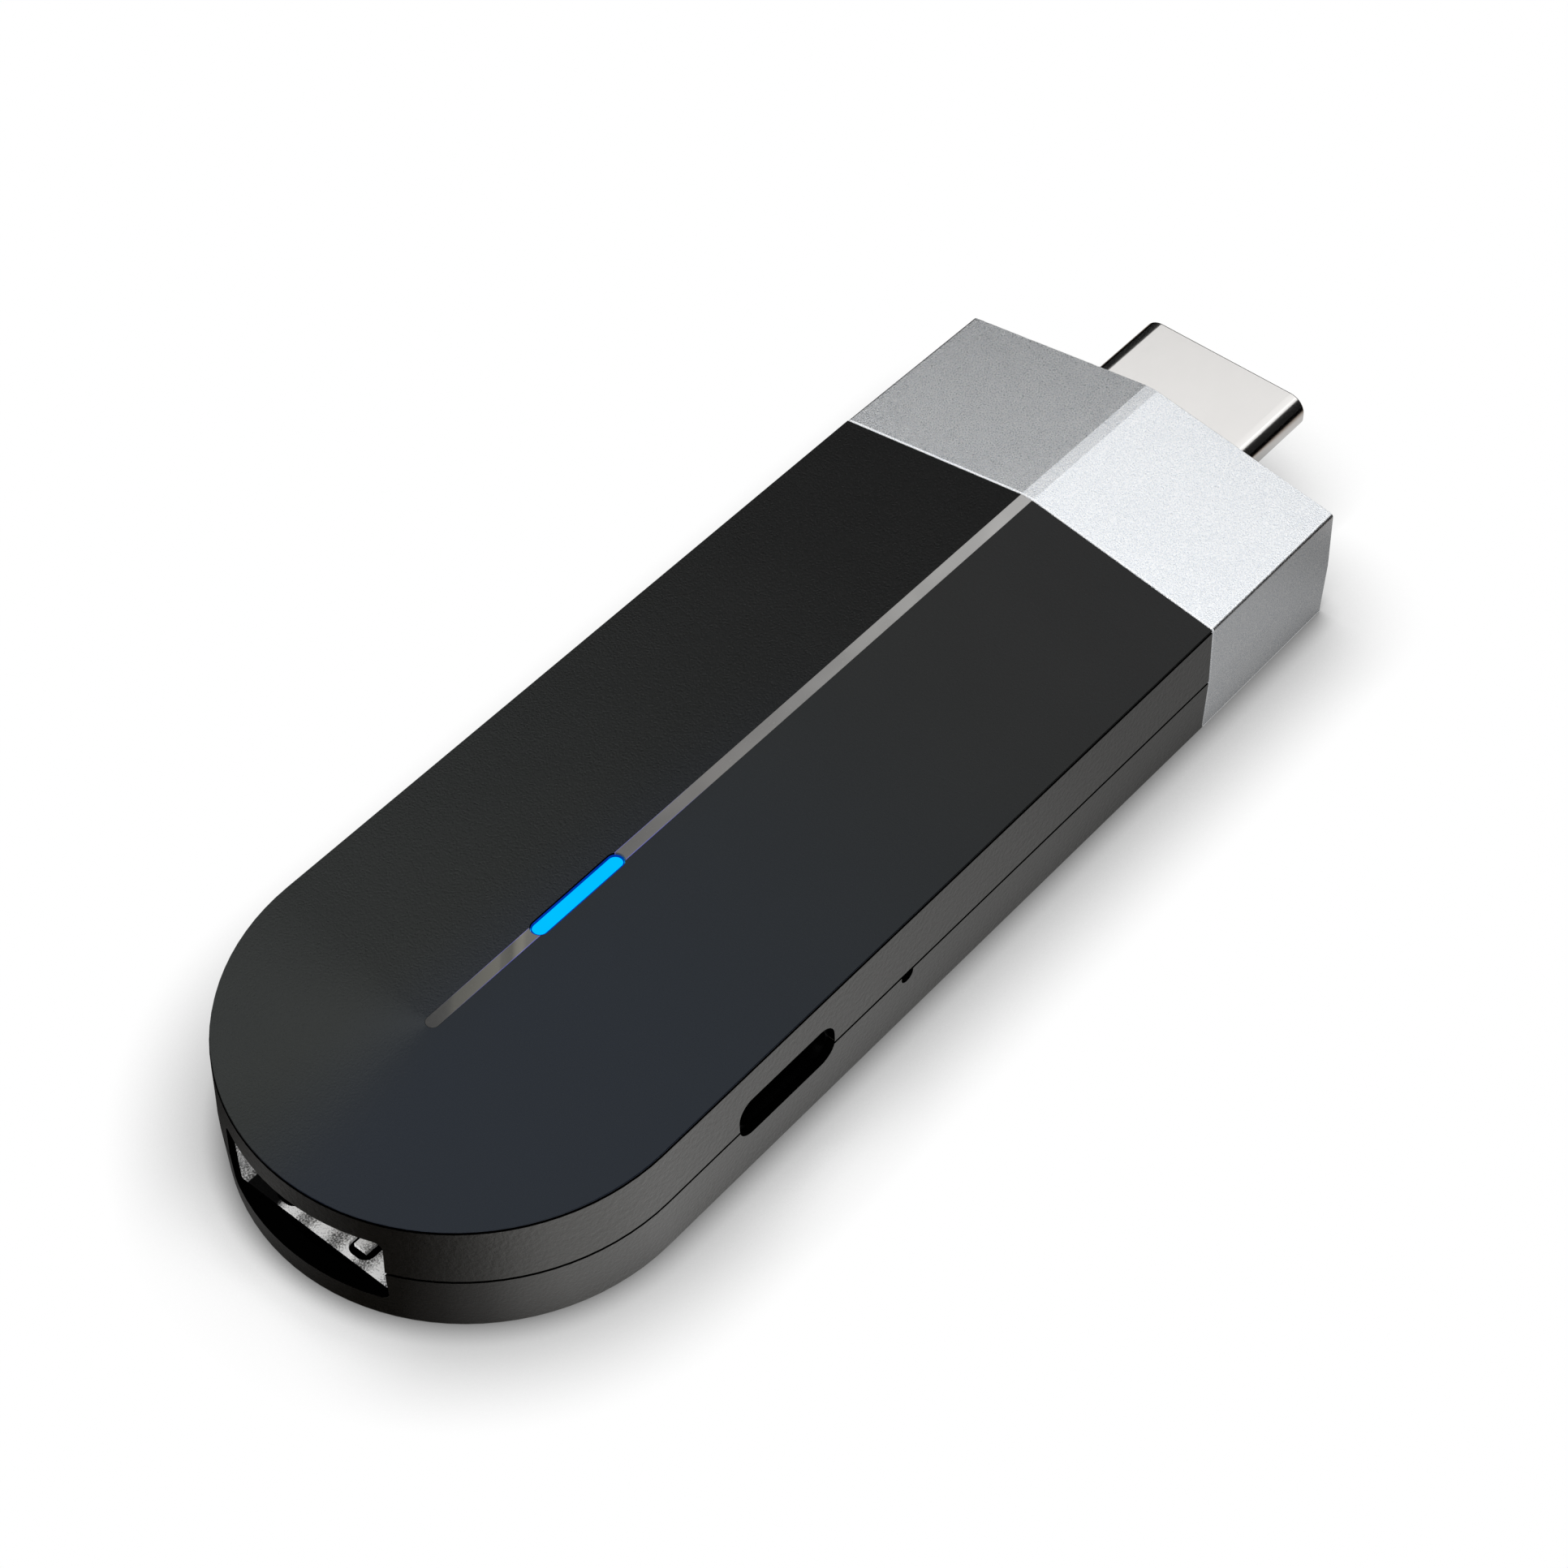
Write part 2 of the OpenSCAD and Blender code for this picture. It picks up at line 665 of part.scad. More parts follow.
module main_board() color(board_green) stick() difference() {
    translate([0, 0, board_low]) linear_extrude(board_t) {
        plan(board_half, board_x1);
        translate([0, -tail_half]) square([tail_x1, 2 * tail_half]);
    }
    block((data_x0 + data_x1) / 2 - over, data_shift, 0, data_len + 2 * data_cut_gap + 2 * over,
        data_w + 2 * data_cut_gap, ridge_h);
    for (p = screws) translate([p[0], p[1], 0]) cylinder(h = ridge_h, r = screw_r + screw_play);
    for (p = pegs) translate([p[0], p[1], 0]) cylinder(h = ridge_h, r = peg_r + peg_gap);
    for (side = [-1, 1], x = hook_xs)
        block(x, side * half_in, 0, hook_w + 2 * board_gap,
            2 * (hook_catch + hook_play + hook_t + hook_play), ridge_h);
}

module board_screws() color(nickel) stick() for (p = screws) translate([p[0], p[1], board_z])
    difference() {
        union() {
            cylinder(h = screw_head_h, r = screw_head_r);
            translate([0, 0, -board_t - screw_depth])
                cylinder(h = board_t + screw_depth + screw_head_h / 2, r = screw_r);
        }
        for (turn = [0, 90]) rotate(turn)
            block(0, 0, screw_head_h / 2, screw_cross_l, screw_cross, screw_head_h);
    }

module processor() color(resin_black) stick()
    block(chip_x, 0, board_z, chip_side, chip_side, chip_t);

module thermal_pad() color([0.6, 0.65, 0.72]) stick()
    block(chip_x, 0, board_z + chip_t, chip_side - 2 * pad_inset, chip_side - 2 * pad_inset, pad_t);

module heat_spreader() color([0.7, 0.71, 0.73]) stick() {
    z = board_z + chip_t + pad_t;
    block(chip_x, 0, z, spreader_l, spreader_w, spreader_base);
    for (k = [0:spreader_fins - 1])
        block(chip_x, (k / (spreader_fins - 1) - 1 / 2) * (spreader_w - spreader_fin_t),
            z + spreader_base - thin, spreader_l, spreader_fin_t, spreader_fin_h + thin);
}

module memory_chips() color(resin_black) stick() for (k = [0, 1])
    block(memory_x, memory_y - k * memory_pitch, board_z, memory_l, memory_w, memory_t);

module storage_chip() color(resin_black) stick()
    block(storage_x, 0, board_low - storage_t, storage_l, storage_w, storage_t);

module power_chip() color(resin_black) stick()
    block(power_chip_x, -power_chip_y, board_z, power_chip_side, power_chip_side, power_chip_t);

module inductors() color([0.25, 0.25, 0.26]) stick() for (k = [0:coils - 1])
    translate([coil_x, (k - coils + 1) * coil_pitch, board_z]) linear_extrude(coil_t)
        polygon(round_rect(0, 0, coil_side, coil_side, coil_r));

module capacitors() color([0.72, 0.6, 0.45]) stick()
    for (side = [-1, 1], k = [0:capacitor_count - 1])
        block(chip_x + (k - (capacitor_count - 1) / 2) * capacitor_pitch, side * capacitor_y, board_z,
            capacitor_l, capacitor_w, capacitor_w);

module crystal() color(nickel) stick()
    block(crystal_x, crystal_y, board_z, crystal_l, crystal_w, crystal_t);

module radio_shield() color(nickel) stick()
    block(radio_x, radio_y0 + radio_w / 2, board_z, radio_l, radio_w, radio_t);

module chip_antenna() color([0.85, 0.84, 0.8]) stick()
    block(antenna_x, antenna_y, board_z, antenna_l, antenna_w, antenna_t);

module plug_shell() color(nickel) stick() difference() {
    along_x(plug_x0, plug_x1) polygon(plug_outline(0));
    along_x(plug_x0 - over, plug_x1 + over) polygon(plug_outline(-plug_t));
}

// One contact of the plug, bent down to the board behind the insulator and grown by g
module plug_contact(y, upper, g) {
    bar = plug_slot_z + (upper ? plug_slot_h / 2 : -plug_slot_h / 2 - plug_pin_t);
    foot = plug_x0 - plug_foot - (upper ? plug_pin_t : 0);
    heel = plug_x0 - (upper ? 2 : 1) * plug_pin_t * heel_share;
    tip = plug_x1 - plug_core_recess * 2;
    along_y(y - plug_pin_w / 2 - g, y + plug_pin_w / 2 + g) polygon([
        [foot, board_z], [heel, board_z], [heel, bar - g], [tip, bar - g], [tip, bar + plug_pin_t + g],
        [heel - plug_pin_t, bar + plug_pin_t + g], [heel - plug_pin_t, board_z + plug_pin_t],
        [foot, board_z + plug_pin_t]]);
}
heel_share = 1.5;

module all_plug_contacts(g) {
    for (k = [0:plug_pins_upper - 1])
        plug_contact((k - (plug_pins_upper - 1) / 2) * plug_pin_pitch, true, g);
    for (k = [0:plug_pins_lower - 1])
        plug_contact((k - (plug_pins_lower - 1) / 2) * plug_pin_pitch, false, g);
}

module plug_contacts() color(gold) stick() all_plug_contacts(0);

module plug_insulator() color(resin_black) stick() difference() {
    along_x(plug_x0, plug_x1 - plug_core_recess) polygon(plug_outline(-plug_t));
    along_x(plug_x1 - plug_slot_len, plug_x1)
        polygon(round_rect(0, plug_slot_z, plug_slot_w, plug_slot_h, plug_slot_h / 4));
    all_plug_contacts(pin_gap);
}

// A sprung finger cut from the socket's floor or roof and bent inwards at its free end
module data_finger(side, up) {
    x0 = data_x0 + data_window_from + data_finger_gap;
    x1 = data_x0 + data_window_from + data_window_len + thin;
    y = data_shift + side * data_spring_y;
    z = data_z - up * data_h / 2;
    along_y(y - data_finger_w / 2, y + data_finger_w / 2) polygon([
        [x0, z + up * data_finger_rise], [x1, z], [x1, z + up * data_t],
        [x0, z + up * (data_t + data_finger_rise)]]);
}

module data_socket_shell() color(nickel) stick() {
    difference() {
        along_x(data_x0, data_x1) polygon(data_outline(0));
        along_x(data_x0 - over, data_x1 + over) polygon(data_outline(-data_t));
        for (side = [-1, 1])
            block(data_x0 + data_window_from + data_window_len / 2, data_shift + side * data_spring_y,
                0, data_window_len, data_window_w, ridge_h);
    }
    for (side = [-1, 1], up = [-1, 1]) data_finger(side, up);
    for (side = [-1, 1], x = [data_x0 + data_len / 3, data_x1 - data_wing_len])
        block(x, data_shift + side * (data_w + data_wing_w) / 2, board_z, data_wing_len,
            data_wing_w + data_t, data_t);
}

module data_contact(y, g) {
    top = data_z + data_h / 2 - data_t - data_tongue_drop - data_tongue_t;
    back = data_x1 - data_core_len;
    block((back - data_tongue_len + data_x1) / 2, data_shift + y, top - data_pin_t * pin_show_share - g,
        data_tongue_len + data_core_len, data_pin_w + 2 * g, data_pin_t + 2 * g);
}
pin_show_share = 0.25;

module all_data_contacts(g) for (side = [-1, 1], y = [data_pin_inner, data_pin_outer])
    data_contact(side * y, g);

module data_socket_contacts() color(gold) stick() all_data_contacts(0);

module data_socket_tongue() color([0.08, 0.08, 0.09]) stick() difference() {
    union() {
        along_x(data_x1 - data_core_len, data_x1) polygon(data_outline(-data_t));
        block(data_x1 - data_core_len - data_tongue_len / 2 + thin, data_shift,
            data_z + data_h / 2 - data_t - data_tongue_drop - data_tongue_t,
            data_tongue_len, data_tongue_w, data_tongue_t);
    }
    all_data_contacts(pin_gap);
}

module power_socket_shell() color(nickel) stick() {
    difference() {
        along_y(power_y0, power_y1) polygon(power_outline(0));
        along_y(power_y0 - over, power_y1 + over) polygon(power_outline(-power_t));
    }
    for (side = [-1, 1], y = [power_y1 - power_leg_w, power_y1 - power_len / 2])
        block(power_x + side * (power_w + power_leg_t) / 2, y, board_z, power_leg_t + thin,
            power_leg_w, power_z - board_z);
}

module all_power_contacts(g) for (k = [0:power_pins - 1], side = [-1, 1])
    block(power_x + (k - (power_pins - 1) / 2) * power_pin_pitch,
        power_y1 - (power_core_len + power_tongue_len) / 2 + power_pin_t,
        power_z + side * (power_tongue_t - power_pin_t) / 2 - power_pin_t / 2 - g,
        power_pin_w + 2 * g, power_tongue_len + power_core_len - power_pin_pitch, power_pin_t + 2 * g);

module power_socket_contacts() color(gold) stick() all_power_contacts(0);

module power_socket_tongue() color(resin_black) stick() difference() {
    union() {
        along_y(power_y1 - power_core_len, power_y1) polygon(power_outline(-power_t));
        block(power_x, power_y1 - power_core_len - power_tongue_len / 2 + thin,
            power_z - power_tongue_t / 2, power_tongue_w, power_tongue_len, power_tongue_t);
    }
    all_power_contacts(thin);
}

module reset_housing() color(resin_black) stick() difference() {
    block(pin_x, (reset_y0 + reset_y1) / 2, board_z, reset_w, reset_d, reset_h);
    block(pin_x, reset_y0, press_z - plunger_h / 2 - plunger_fit, plunger_w + 2 * plunger_fit,
        2 * over, plunger_h + 2 * plunger_fit);
    block(pin_x, (reset_y0 + reset_y1) / 2, board_z + reset_wall / 2, reset_w - 2 * reset_wall,
        reset_d - 2 * reset_wall, reset_h);
}

module reset_cover() color(nickel) stick()
    block(pin_x, (reset_y0 + reset_y1) / 2, board_z + reset_h, reset_w, reset_d, cover_t);

module reset_plunger() color([0.75, 0.75, 0.72]) stick() {
    inner = reset_y0 + reset_wall + plunger_fit;
    block(pin_x, (plunger_tip + inner) / 2, press_z - plunger_h / 2, plunger_w, inner - plunger_tip + thin,
        plunger_h);
    block(pin_x, inner + plunger_flange_t / 2, press_z - plunger_h / 2, plunger_w + 2 * plunger_flange,
        plunger_flange_t, plunger_h);
}

module reset_dome() color(gold) stick() {
    y = reset_y0 + reset_wall + plunger_fit + plunger_flange_t + press_travel + dome_gap;
    w = reset_w / 2 - reset_wall - plunger_fit;
    translate([pin_x, 0, press_z - dome_h / 2]) linear_extrude(dome_h) polygon([
        [-w, y + dome_rise], [0, y], [w, y + dome_rise],
        [w, y + dome_rise + dome_t], [0, y + dome_t], [-w, y + dome_rise + dome_t]]);
}

top_cover();
middle_frame();
lower_shell();
end_cap();
long_strip();
short_strip();
status_lens();
light_shield();
status_leds();
main_board();
board_screws();
processor();
thermal_pad();
heat_spreader();
memory_chips();
storage_chip();
power_chip();
inductors();
capacitors();
crystal();
radio_shield();
chip_antenna();
plug_shell();
plug_insulator();
plug_contacts();
data_socket_shell();
data_socket_tongue();
data_socket_contacts();
power_socket_shell();
power_socket_tongue();
power_socket_contacts();
reset_housing();
reset_cover();
reset_plunger();
reset_dome();
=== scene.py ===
"""A streaming media stick on a pale studio floor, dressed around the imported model.

Sizes in the dataclass fields are millimetres in the model's own frame, and meshes are in metres.
"""
import logging
import math
from dataclasses import dataclass, replace
from enum import Enum
from typing import Optional, Sequence

import bmesh
import bpy
import numpy as np
from mathutils import Matrix, Vector


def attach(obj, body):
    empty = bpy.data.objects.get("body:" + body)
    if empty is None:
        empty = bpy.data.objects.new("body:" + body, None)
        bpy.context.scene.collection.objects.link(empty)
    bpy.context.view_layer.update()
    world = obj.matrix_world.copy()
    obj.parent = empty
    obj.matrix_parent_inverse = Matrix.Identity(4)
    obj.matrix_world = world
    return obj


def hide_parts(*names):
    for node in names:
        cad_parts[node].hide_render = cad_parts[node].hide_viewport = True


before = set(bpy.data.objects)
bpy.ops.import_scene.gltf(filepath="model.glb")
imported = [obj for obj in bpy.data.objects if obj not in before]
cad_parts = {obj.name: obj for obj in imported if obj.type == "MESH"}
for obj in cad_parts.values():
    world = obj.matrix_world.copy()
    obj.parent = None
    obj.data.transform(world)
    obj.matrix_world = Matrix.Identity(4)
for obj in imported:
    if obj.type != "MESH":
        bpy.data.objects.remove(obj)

log = logging.getLogger("media_stick")

Colour = tuple[float, float, float]
Point = tuple[float, float, float]
Span = tuple[float, float]
Socket = bpy.types.NodeSocket

MM = 0.001
STICK = "stick"
MERGE_DISTANCE = 2e-7
FLAT_ANGLE = math.radians(0.3)
BROAD_BEND = math.radians(3.0)
AREA_WEIGHT = 100
WHITE: Colour = (1.0, 1.0, 1.0)
BLACK: Colour = (0.0, 0.0, 0.0)
RISE: Span = (0.0, 1.0)
FALL: Span = (1.0, 0.0)

# Nearly all of a noise's values lie in the first range, and most of them in the second.
NOISE_RANGE: Span = (0.3, 0.7)
NOISE_CORE: Span = (0.35, 0.65)


class Slot(Enum):
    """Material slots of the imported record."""

    CASE_TOP = "case_top"
    CASE_SIDE = "case_side"
    CAP = "cap_metal"
    LENS = "lens"
    CONNECTOR = "connector_metal"


class Along(Enum):
    """An axis, such as the one that brush lines run along."""

    X = 0
    Y = 1
    Z = 2


# Node sheets


class NodeSheet:
    """A material's node tree, with short ways to add and join nodes."""

    def __init__(self, name: str) -> None:
        """Starts an empty material with its output node and the object coordinates.

        Args:
            name: The material's name.
        """
        self.material = bpy.data.materials.new(name)
        self.material.use_nodes = True
        self.tree = self.material.node_tree
        self.tree.nodes.clear()
        self.output = self.tree.nodes.new("ShaderNodeOutputMaterial")
        self.place = self.add("ShaderNodeTexCoord").outputs["Object"]

    def add(self, kind: str, **settings: object) -> bpy.types.Node:
        """Adds a node.

        Args:
            kind: The node's type.
            **settings: Properties to set on it.

        Returns:
            The new node.
        """
        node = self.tree.nodes.new(kind)
        for key, value in settings.items():
            setattr(node, key, value)
        return node

    def join(self, source: Socket, target: Socket) -> None:
        """Links one socket to another."""
        self.tree.links.new(source, target)

    def stretch(self, factors: Sequence[float]) -> Socket:
        """Stretches the object coordinates.

        Args:
            factors: What each axis is multiplied by.

        Returns:
            The stretched coordinates.
        """
        mapping = self.add("ShaderNodeMapping")
        mapping.inputs["Scale"].default_value = factors
        self.join(self.place, mapping.inputs["Vector"])
        return mapping.outputs["Vector"]

    def noise(self, size_mm: float, detail: float = 2.0, rough: float = 0.5,
              factors: Optional[Sequence[float]] = None) -> Socket:
        """Noise between 0 and 1 whose lumps are about size_mm across.

        Args:
            size_mm: Size of one lump in millimetres.
            detail: Octaves of finer noise.
            rough: Strength of each finer octave.
            factors: Stretch on each axis, or None.

        Returns:
            The noise's value.
        """
        node = self.add("ShaderNodeTexNoise")
        node.inputs["Scale"].default_value = 1.0 / (size_mm * MM)
        node.inputs["Detail"].default_value = detail
        node.inputs["Roughness"].default_value = rough
        self.join(self.stretch(factors) if factors else self.place, node.inputs["Vector"])
        return node.outputs["Fac"]

    def dots(self, size_mm: float) -> Socket:
        """Distance to the nearest of a field of scattered points.

        Args:
            size_mm: How far apart the points are, in millimetres.

        Returns:
            The distance, as a share of size_mm.
        """
        node = self.add("ShaderNodeTexVoronoi")
        node.inputs["Scale"].default_value = 1.0 / (size_mm * MM)
        self.join(self.place, node.inputs["Vector"])
        return node.outputs["Distance"]

    def span(self, value: Socket, source: Span, target: Span = RISE, smooth: bool = False) -> Socket:
        """Maps a value from one range to another, clamped at both ends.

        Args:
            value: The varying value.
            source: The range it comes from.
            target: The range it is mapped to.
            smooth: True to ease in and out.

        Returns:
            The mapped value.
        """
        node = self.add("ShaderNodeMapRange", clamp=True)
        if smooth:
            node.interpolation_type = "SMOOTHSTEP"
        for key, number in zip(("From Min", "From Max", "To Min", "To Max"), (*source, *target)):
            node.inputs[key].default_value = number
        self.join(value, node.inputs["Value"])
        return node.outputs["Result"]

    def reach(self, value: Socket, source_mm: Span, target: Span = RISE, smooth: bool = True) -> Socket:
        """Maps a length, whose range is given in millimetres, as span does."""
        start, end = source_mm
        return self.span(value, (start * MM, end * MM), target, smooth)

    def blend(self, factor: Socket, first: Colour | Socket, second: Colour | Socket) -> Socket:
        """Mixes two colours by a factor that varies over the surface.

        Args:
            factor: 0 for the first colour and 1 for the second.
            first: A colour, or a socket that varies.
            second: A colour, or a socket that varies.

        Returns:
            The mixed colour.
        """
        node = self.add("ShaderNodeMix", data_type="RGBA")
        self.join(factor, node.inputs["Factor"])
        for key, colour in (("A", first), ("B", second)):
            socket = next(s for s in node.inputs if s.name == key and s.type == "RGBA")
            if isinstance(colour, Socket):
                self.join(colour, socket)
            else:
                socket.default_value = (*colour, 1.0)
        return next(s for s in node.outputs if s.type == "RGBA")

    def ramp(self, value: Socket, stops: Sequence[tuple[float, Colour]]) -> Socket:
        """A colour ramp.

        Args:
            value: The varying value, between 0 and 1.
            stops: Each stop's place and colour.

        Returns:
            The ramp's colour.
        """
        node = self.add("ShaderNodeValToRGB")
        elements = node.color_ramp.elements
        while len(elements) < len(stops):
            elements.new(0.5)
        for element, (position, colour) in zip(elements, stops):
            element.position = position
            element.color = (*colour, 1.0)
        self.join(value, node.inputs["Fac"])
        return node.outputs["Color"]

    def math(self, operation: str, first: Socket, second: float | Socket = 0.0) -> Socket:
        """One step of arithmetic on a varying value.

        Args:
            operation: The Math node's operation.
            first: The varying value.
            second: A number or another varying value, where the operation takes two.

        Returns:
            The result.
        """
        node = self.add("ShaderNodeMath", operation=operation)
        self.join(first, node.inputs[0])
        if isinstance(second, Socket):
            self.join(second, node.inputs[1])
        else:
            node.inputs[1].default_value = second
        return node.outputs[0]

    def rest(self, value: Socket) -> Socket:
        """One less a varying value."""
        return self.math("SUBTRACT", self.math("MULTIPLY", value, -1.0), -1.0)

    def axis(self, along: Along) -> Socket:
        """Picks one axis of the object coordinates.

        Args:
            along: The axis.

        Returns:
            The coordinate in metres.
        """
        node = self.add("ShaderNodeSeparateXYZ")
        self.join(self.place, node.inputs[0])
        return node.outputs[along.value]

    def bump(self, height: Socket, depth_mm: float) -> Socket:
        """Turns a height into a bent normal.

        Args:
            height: The height, between 0 and 1.
            depth_mm: What a height of 1 stands for, in millimetres.

        Returns:
            The normal.
        """
        node = self.add("ShaderNodeBump")
        node.inputs["Strength"].default_value = 1.0
        node.inputs["Distance"].default_value = depth_mm * MM
        self.join(height, node.inputs["Height"])
        return node.outputs["Normal"]

    def surface(self, **inputs: object) -> bpy.types.Material:
        """Adds the Principled shader and finishes the material.

        Args:
            **inputs: The shader's inputs, with constants set on it and sockets linked to it.

        Returns:
            The finished material.
        """
        shader = self.add("ShaderNodeBsdfPrincipled")
        for key, value in inputs.items():
            socket = shader.inputs[key.replace("_", " ")]
            if isinstance(value, Socket):
                self.join(value, socket)
            elif isinstance(value, tuple):
                socket.default_value = (*value, 1.0)
            else:
                socket.default_value = value
        self.join(shader.outputs[0], self.output.inputs["Surface"])
        return self.material


# Finishes


def around(middle: float, spread: float) -> Span:
    """The range from spread below the middle to spread above it."""
    return middle - spread, middle + spread


@dataclass(frozen=True)
class Moulded:
    """Moulded plastic: a fine spark-eroded grain with slight mottling.

    The grain is noise that sets the bump and the roughness, and wide noise sets the mottling. A
    cover can have painted reflection: a cooler base colour towards the round end on the socket's
    side and a painted tint on its sheen towards the round end. It can also have a finer grain on the
    socket's side of the ridge.
    """

    name: str
    colour: Colour
    dark: Colour
    roughness: float = 0.5
    gloss: float = 0.5
    grain_mm: float = 0.14
    depth_mm: float = 0.004
    mottle_mm: float = 6.0
    spread: float = 0.06
    tint: Colour = WHITE
    painted_sheen: Optional[Colour] = None
    painted_sheen_x: Span = (10.0, -32.0)
    painted_sheen_y: Span = (6.0, -3.0)
    painted_sheen_tint: Colour = WHITE
    painted_tint_x: Span = (22.0, -22.0)
    grain_y: Span = (0.6, -0.6)
    fine_share: float = 1.0

    def make(self) -> bpy.types.Material:
        """Builds the material.

        Returns:
            The finished material.
        """
        sheet = NodeSheet(self.name)
        mottle = sheet.span(sheet.noise(self.mottle_mm, detail=3.0), NOISE_CORE)
        grain = sheet.noise(self.grain_mm, detail=3.0, rough=0.6)
        colour, tint, height = sheet.blend(mottle, self.dark, self.colour), self.tint, grain
        # Painted reflection: a bluer base colour and a tinted sheen towards the round end.
        if self.painted_sheen is not None:
            x, y = sheet.axis(Along.X), sheet.axis(Along.Y)
            ends = [sheet.reach(x, self.painted_sheen_x), sheet.reach(y, self.painted_sheen_y)]
            colour = sheet.blend(sheet.math("MULTIPLY", *ends), colour, self.painted_sheen)
            tint = sheet.blend(sheet.reach(x, self.painted_tint_x), self.tint, self.painted_sheen_tint)
            share = sheet.reach(y, self.grain_y, (1.0, self.fine_share), smooth=False)
            height = sheet.math("MULTIPLY", grain, share)
        return sheet.surface(
            Base_Color=colour,
            Specular_Tint=tint,
            Roughness=sheet.span(grain, NOISE_RANGE, around(self.roughness, self.spread)),
            Specular_IOR_Level=self.gloss,
            Normal=sheet.bump(height, self.depth_mm),
        )


@dataclass(frozen=True)
class Blasted:
    """Bead-blasted and anodised aluminium: tiny pits that catch the light one by one.

    Fine noise sets the bump, and the tone is mostly specks with a little wide cloud.
    """

    name: str
    colour: Colour
    dark: Colour
    roughness: float
    pit_mm: float
    depth_mm: float
    spread: float = 0.06
    cloud_mm: float = 5.0
    cloud_share: float = 0.06
    tones: Span = (0.37, 0.63)

    def make(self) -> bpy.types.Material:
        """Builds the material.

        Returns:
            The finished material.
        """
        sheet = NodeSheet(self.name)
        fine = sheet.noise(self.pit_mm, rough=0.65)
        speck = sheet.noise(self.pit_mm, detail=1.0)
        cloud = sheet.noise(self.cloud_mm)
        tone = sheet.math("ADD", sheet.math("MULTIPLY", speck, 1.0 - self.cloud_share),
                          sheet.math("MULTIPLY", cloud, self.cloud_share))
        return sheet.surface(
            Base_Color=sheet.blend(sheet.span(tone, self.tones), self.dark, self.colour),
            Metallic=1.0,
            Roughness=sheet.span(fine, NOISE_RANGE, around(self.roughness, self.spread)),
            Normal=sheet.bump(fine, self.depth_mm),
        )


@dataclass(frozen=True)
class Plated:
    """Drawn and plated sheet metal: a smooth face with faint lines along the draw.

    The lines are fine noise drawn out along one axis, and a wide smear shifts the tone.
    """

    name: str
    colour: Colour
    dark: Colour
    roughness: float
    along: Along = Along.X
    line_mm: float = 0.09
    depth_mm: float = 0.0006
    haze: Span = (-0.03, 0.05)
    draw: float = 0.04
    smear_mm: float = 3.0

    def make(self) -> bpy.types.Material:
        """Builds the material.

        Returns:
            The finished material.
        """
        sheet = NodeSheet(self.name)
        factors = [1.0, 1.0, 1.0]
        factors[self.along.value] = self.draw
        lines = sheet.noise(self.line_mm, detail=3.0, rough=0.6, factors=factors)
        smear = sheet.noise(self.smear_mm)
        least, most = (self.roughness + step for step in self.haze)
        return sheet.surface(
            Base_Color=sheet.blend(sheet.span(smear, NOISE_RANGE), self.dark, self.colour),
            Metallic=1.0,
            Roughness=sheet.span(lines, NOISE_RANGE, (least, most)),
            Normal=sheet.bump(lines, self.depth_mm),
        )


@dataclass(frozen=True)
class SatinSheet:
    """Satin tin over rolled sheet: salt-and-pepper grain with painted reflection streaks.

    The painted streaks are bright bands between dark stripes a contact pitch apart, half a pitch
    either side of the middle: tone = wave cos(2 pi y / pitch) + share grain. A zone near one side
    wall is painted shade, dark and without sheen.
    """

    name: str
    bright: Colour
    streak_dark: Colour
    painted_shade: Colour
    pitch_mm: float = 2.4
    wave: float = 0.27
    grain_mm: float = 0.13
    grain_share: float = 1.7
    tones: Span = (0.5, 1.05)
    painted_shade_from: Span = (2.9, 3.5)
    painted_shade_to: Span = (5.85, 5.95)
    painted_shade_sheen: Colour = (0.08, 0.08, 0.08)
    roughness: float = 0.5
    spread: float = 0.06
    metal: float = 0.05
    depth_mm: float = 0.006

    def make(self) -> bpy.types.Material:
        """Builds the material.

        Returns:
            The finished material.
        """
        sheet = NodeSheet(self.name)
        y = sheet.axis(Along.Y)
        # Painted reflection streaks: bright bands between dark stripes a contact pitch apart.
        turn = sheet.math("MULTIPLY", y, 2 * math.pi / (self.pitch_mm * MM))
        wave = sheet.math("COSINE", turn)
        grain = sheet.noise(self.grain_mm, rough=0.7)
        tone = sheet.math("ADD", sheet.math("MULTIPLY", wave, self.wave),
                          sheet.math("MULTIPLY", grain, self.grain_share))
        colour = sheet.blend(sheet.span(tone, self.tones), self.streak_dark, self.bright)
        # Painted shade: a dark zone without sheen near one side wall.
        zone = sheet.math("MULTIPLY", sheet.reach(y, self.painted_shade_from),
                          sheet.reach(y, self.painted_shade_to, FALL))
        return sheet.surface(
            Base_Color=sheet.blend(zone, colour, self.painted_shade),
            Specular_Tint=sheet.blend(zone, WHITE, self.painted_shade_sheen),
            Metallic=self.metal,
            Roughness=sheet.span(grain, NOISE_RANGE, around(self.roughness, self.spread)),
            Normal=sheet.bump(grain, self.depth_mm),
        )


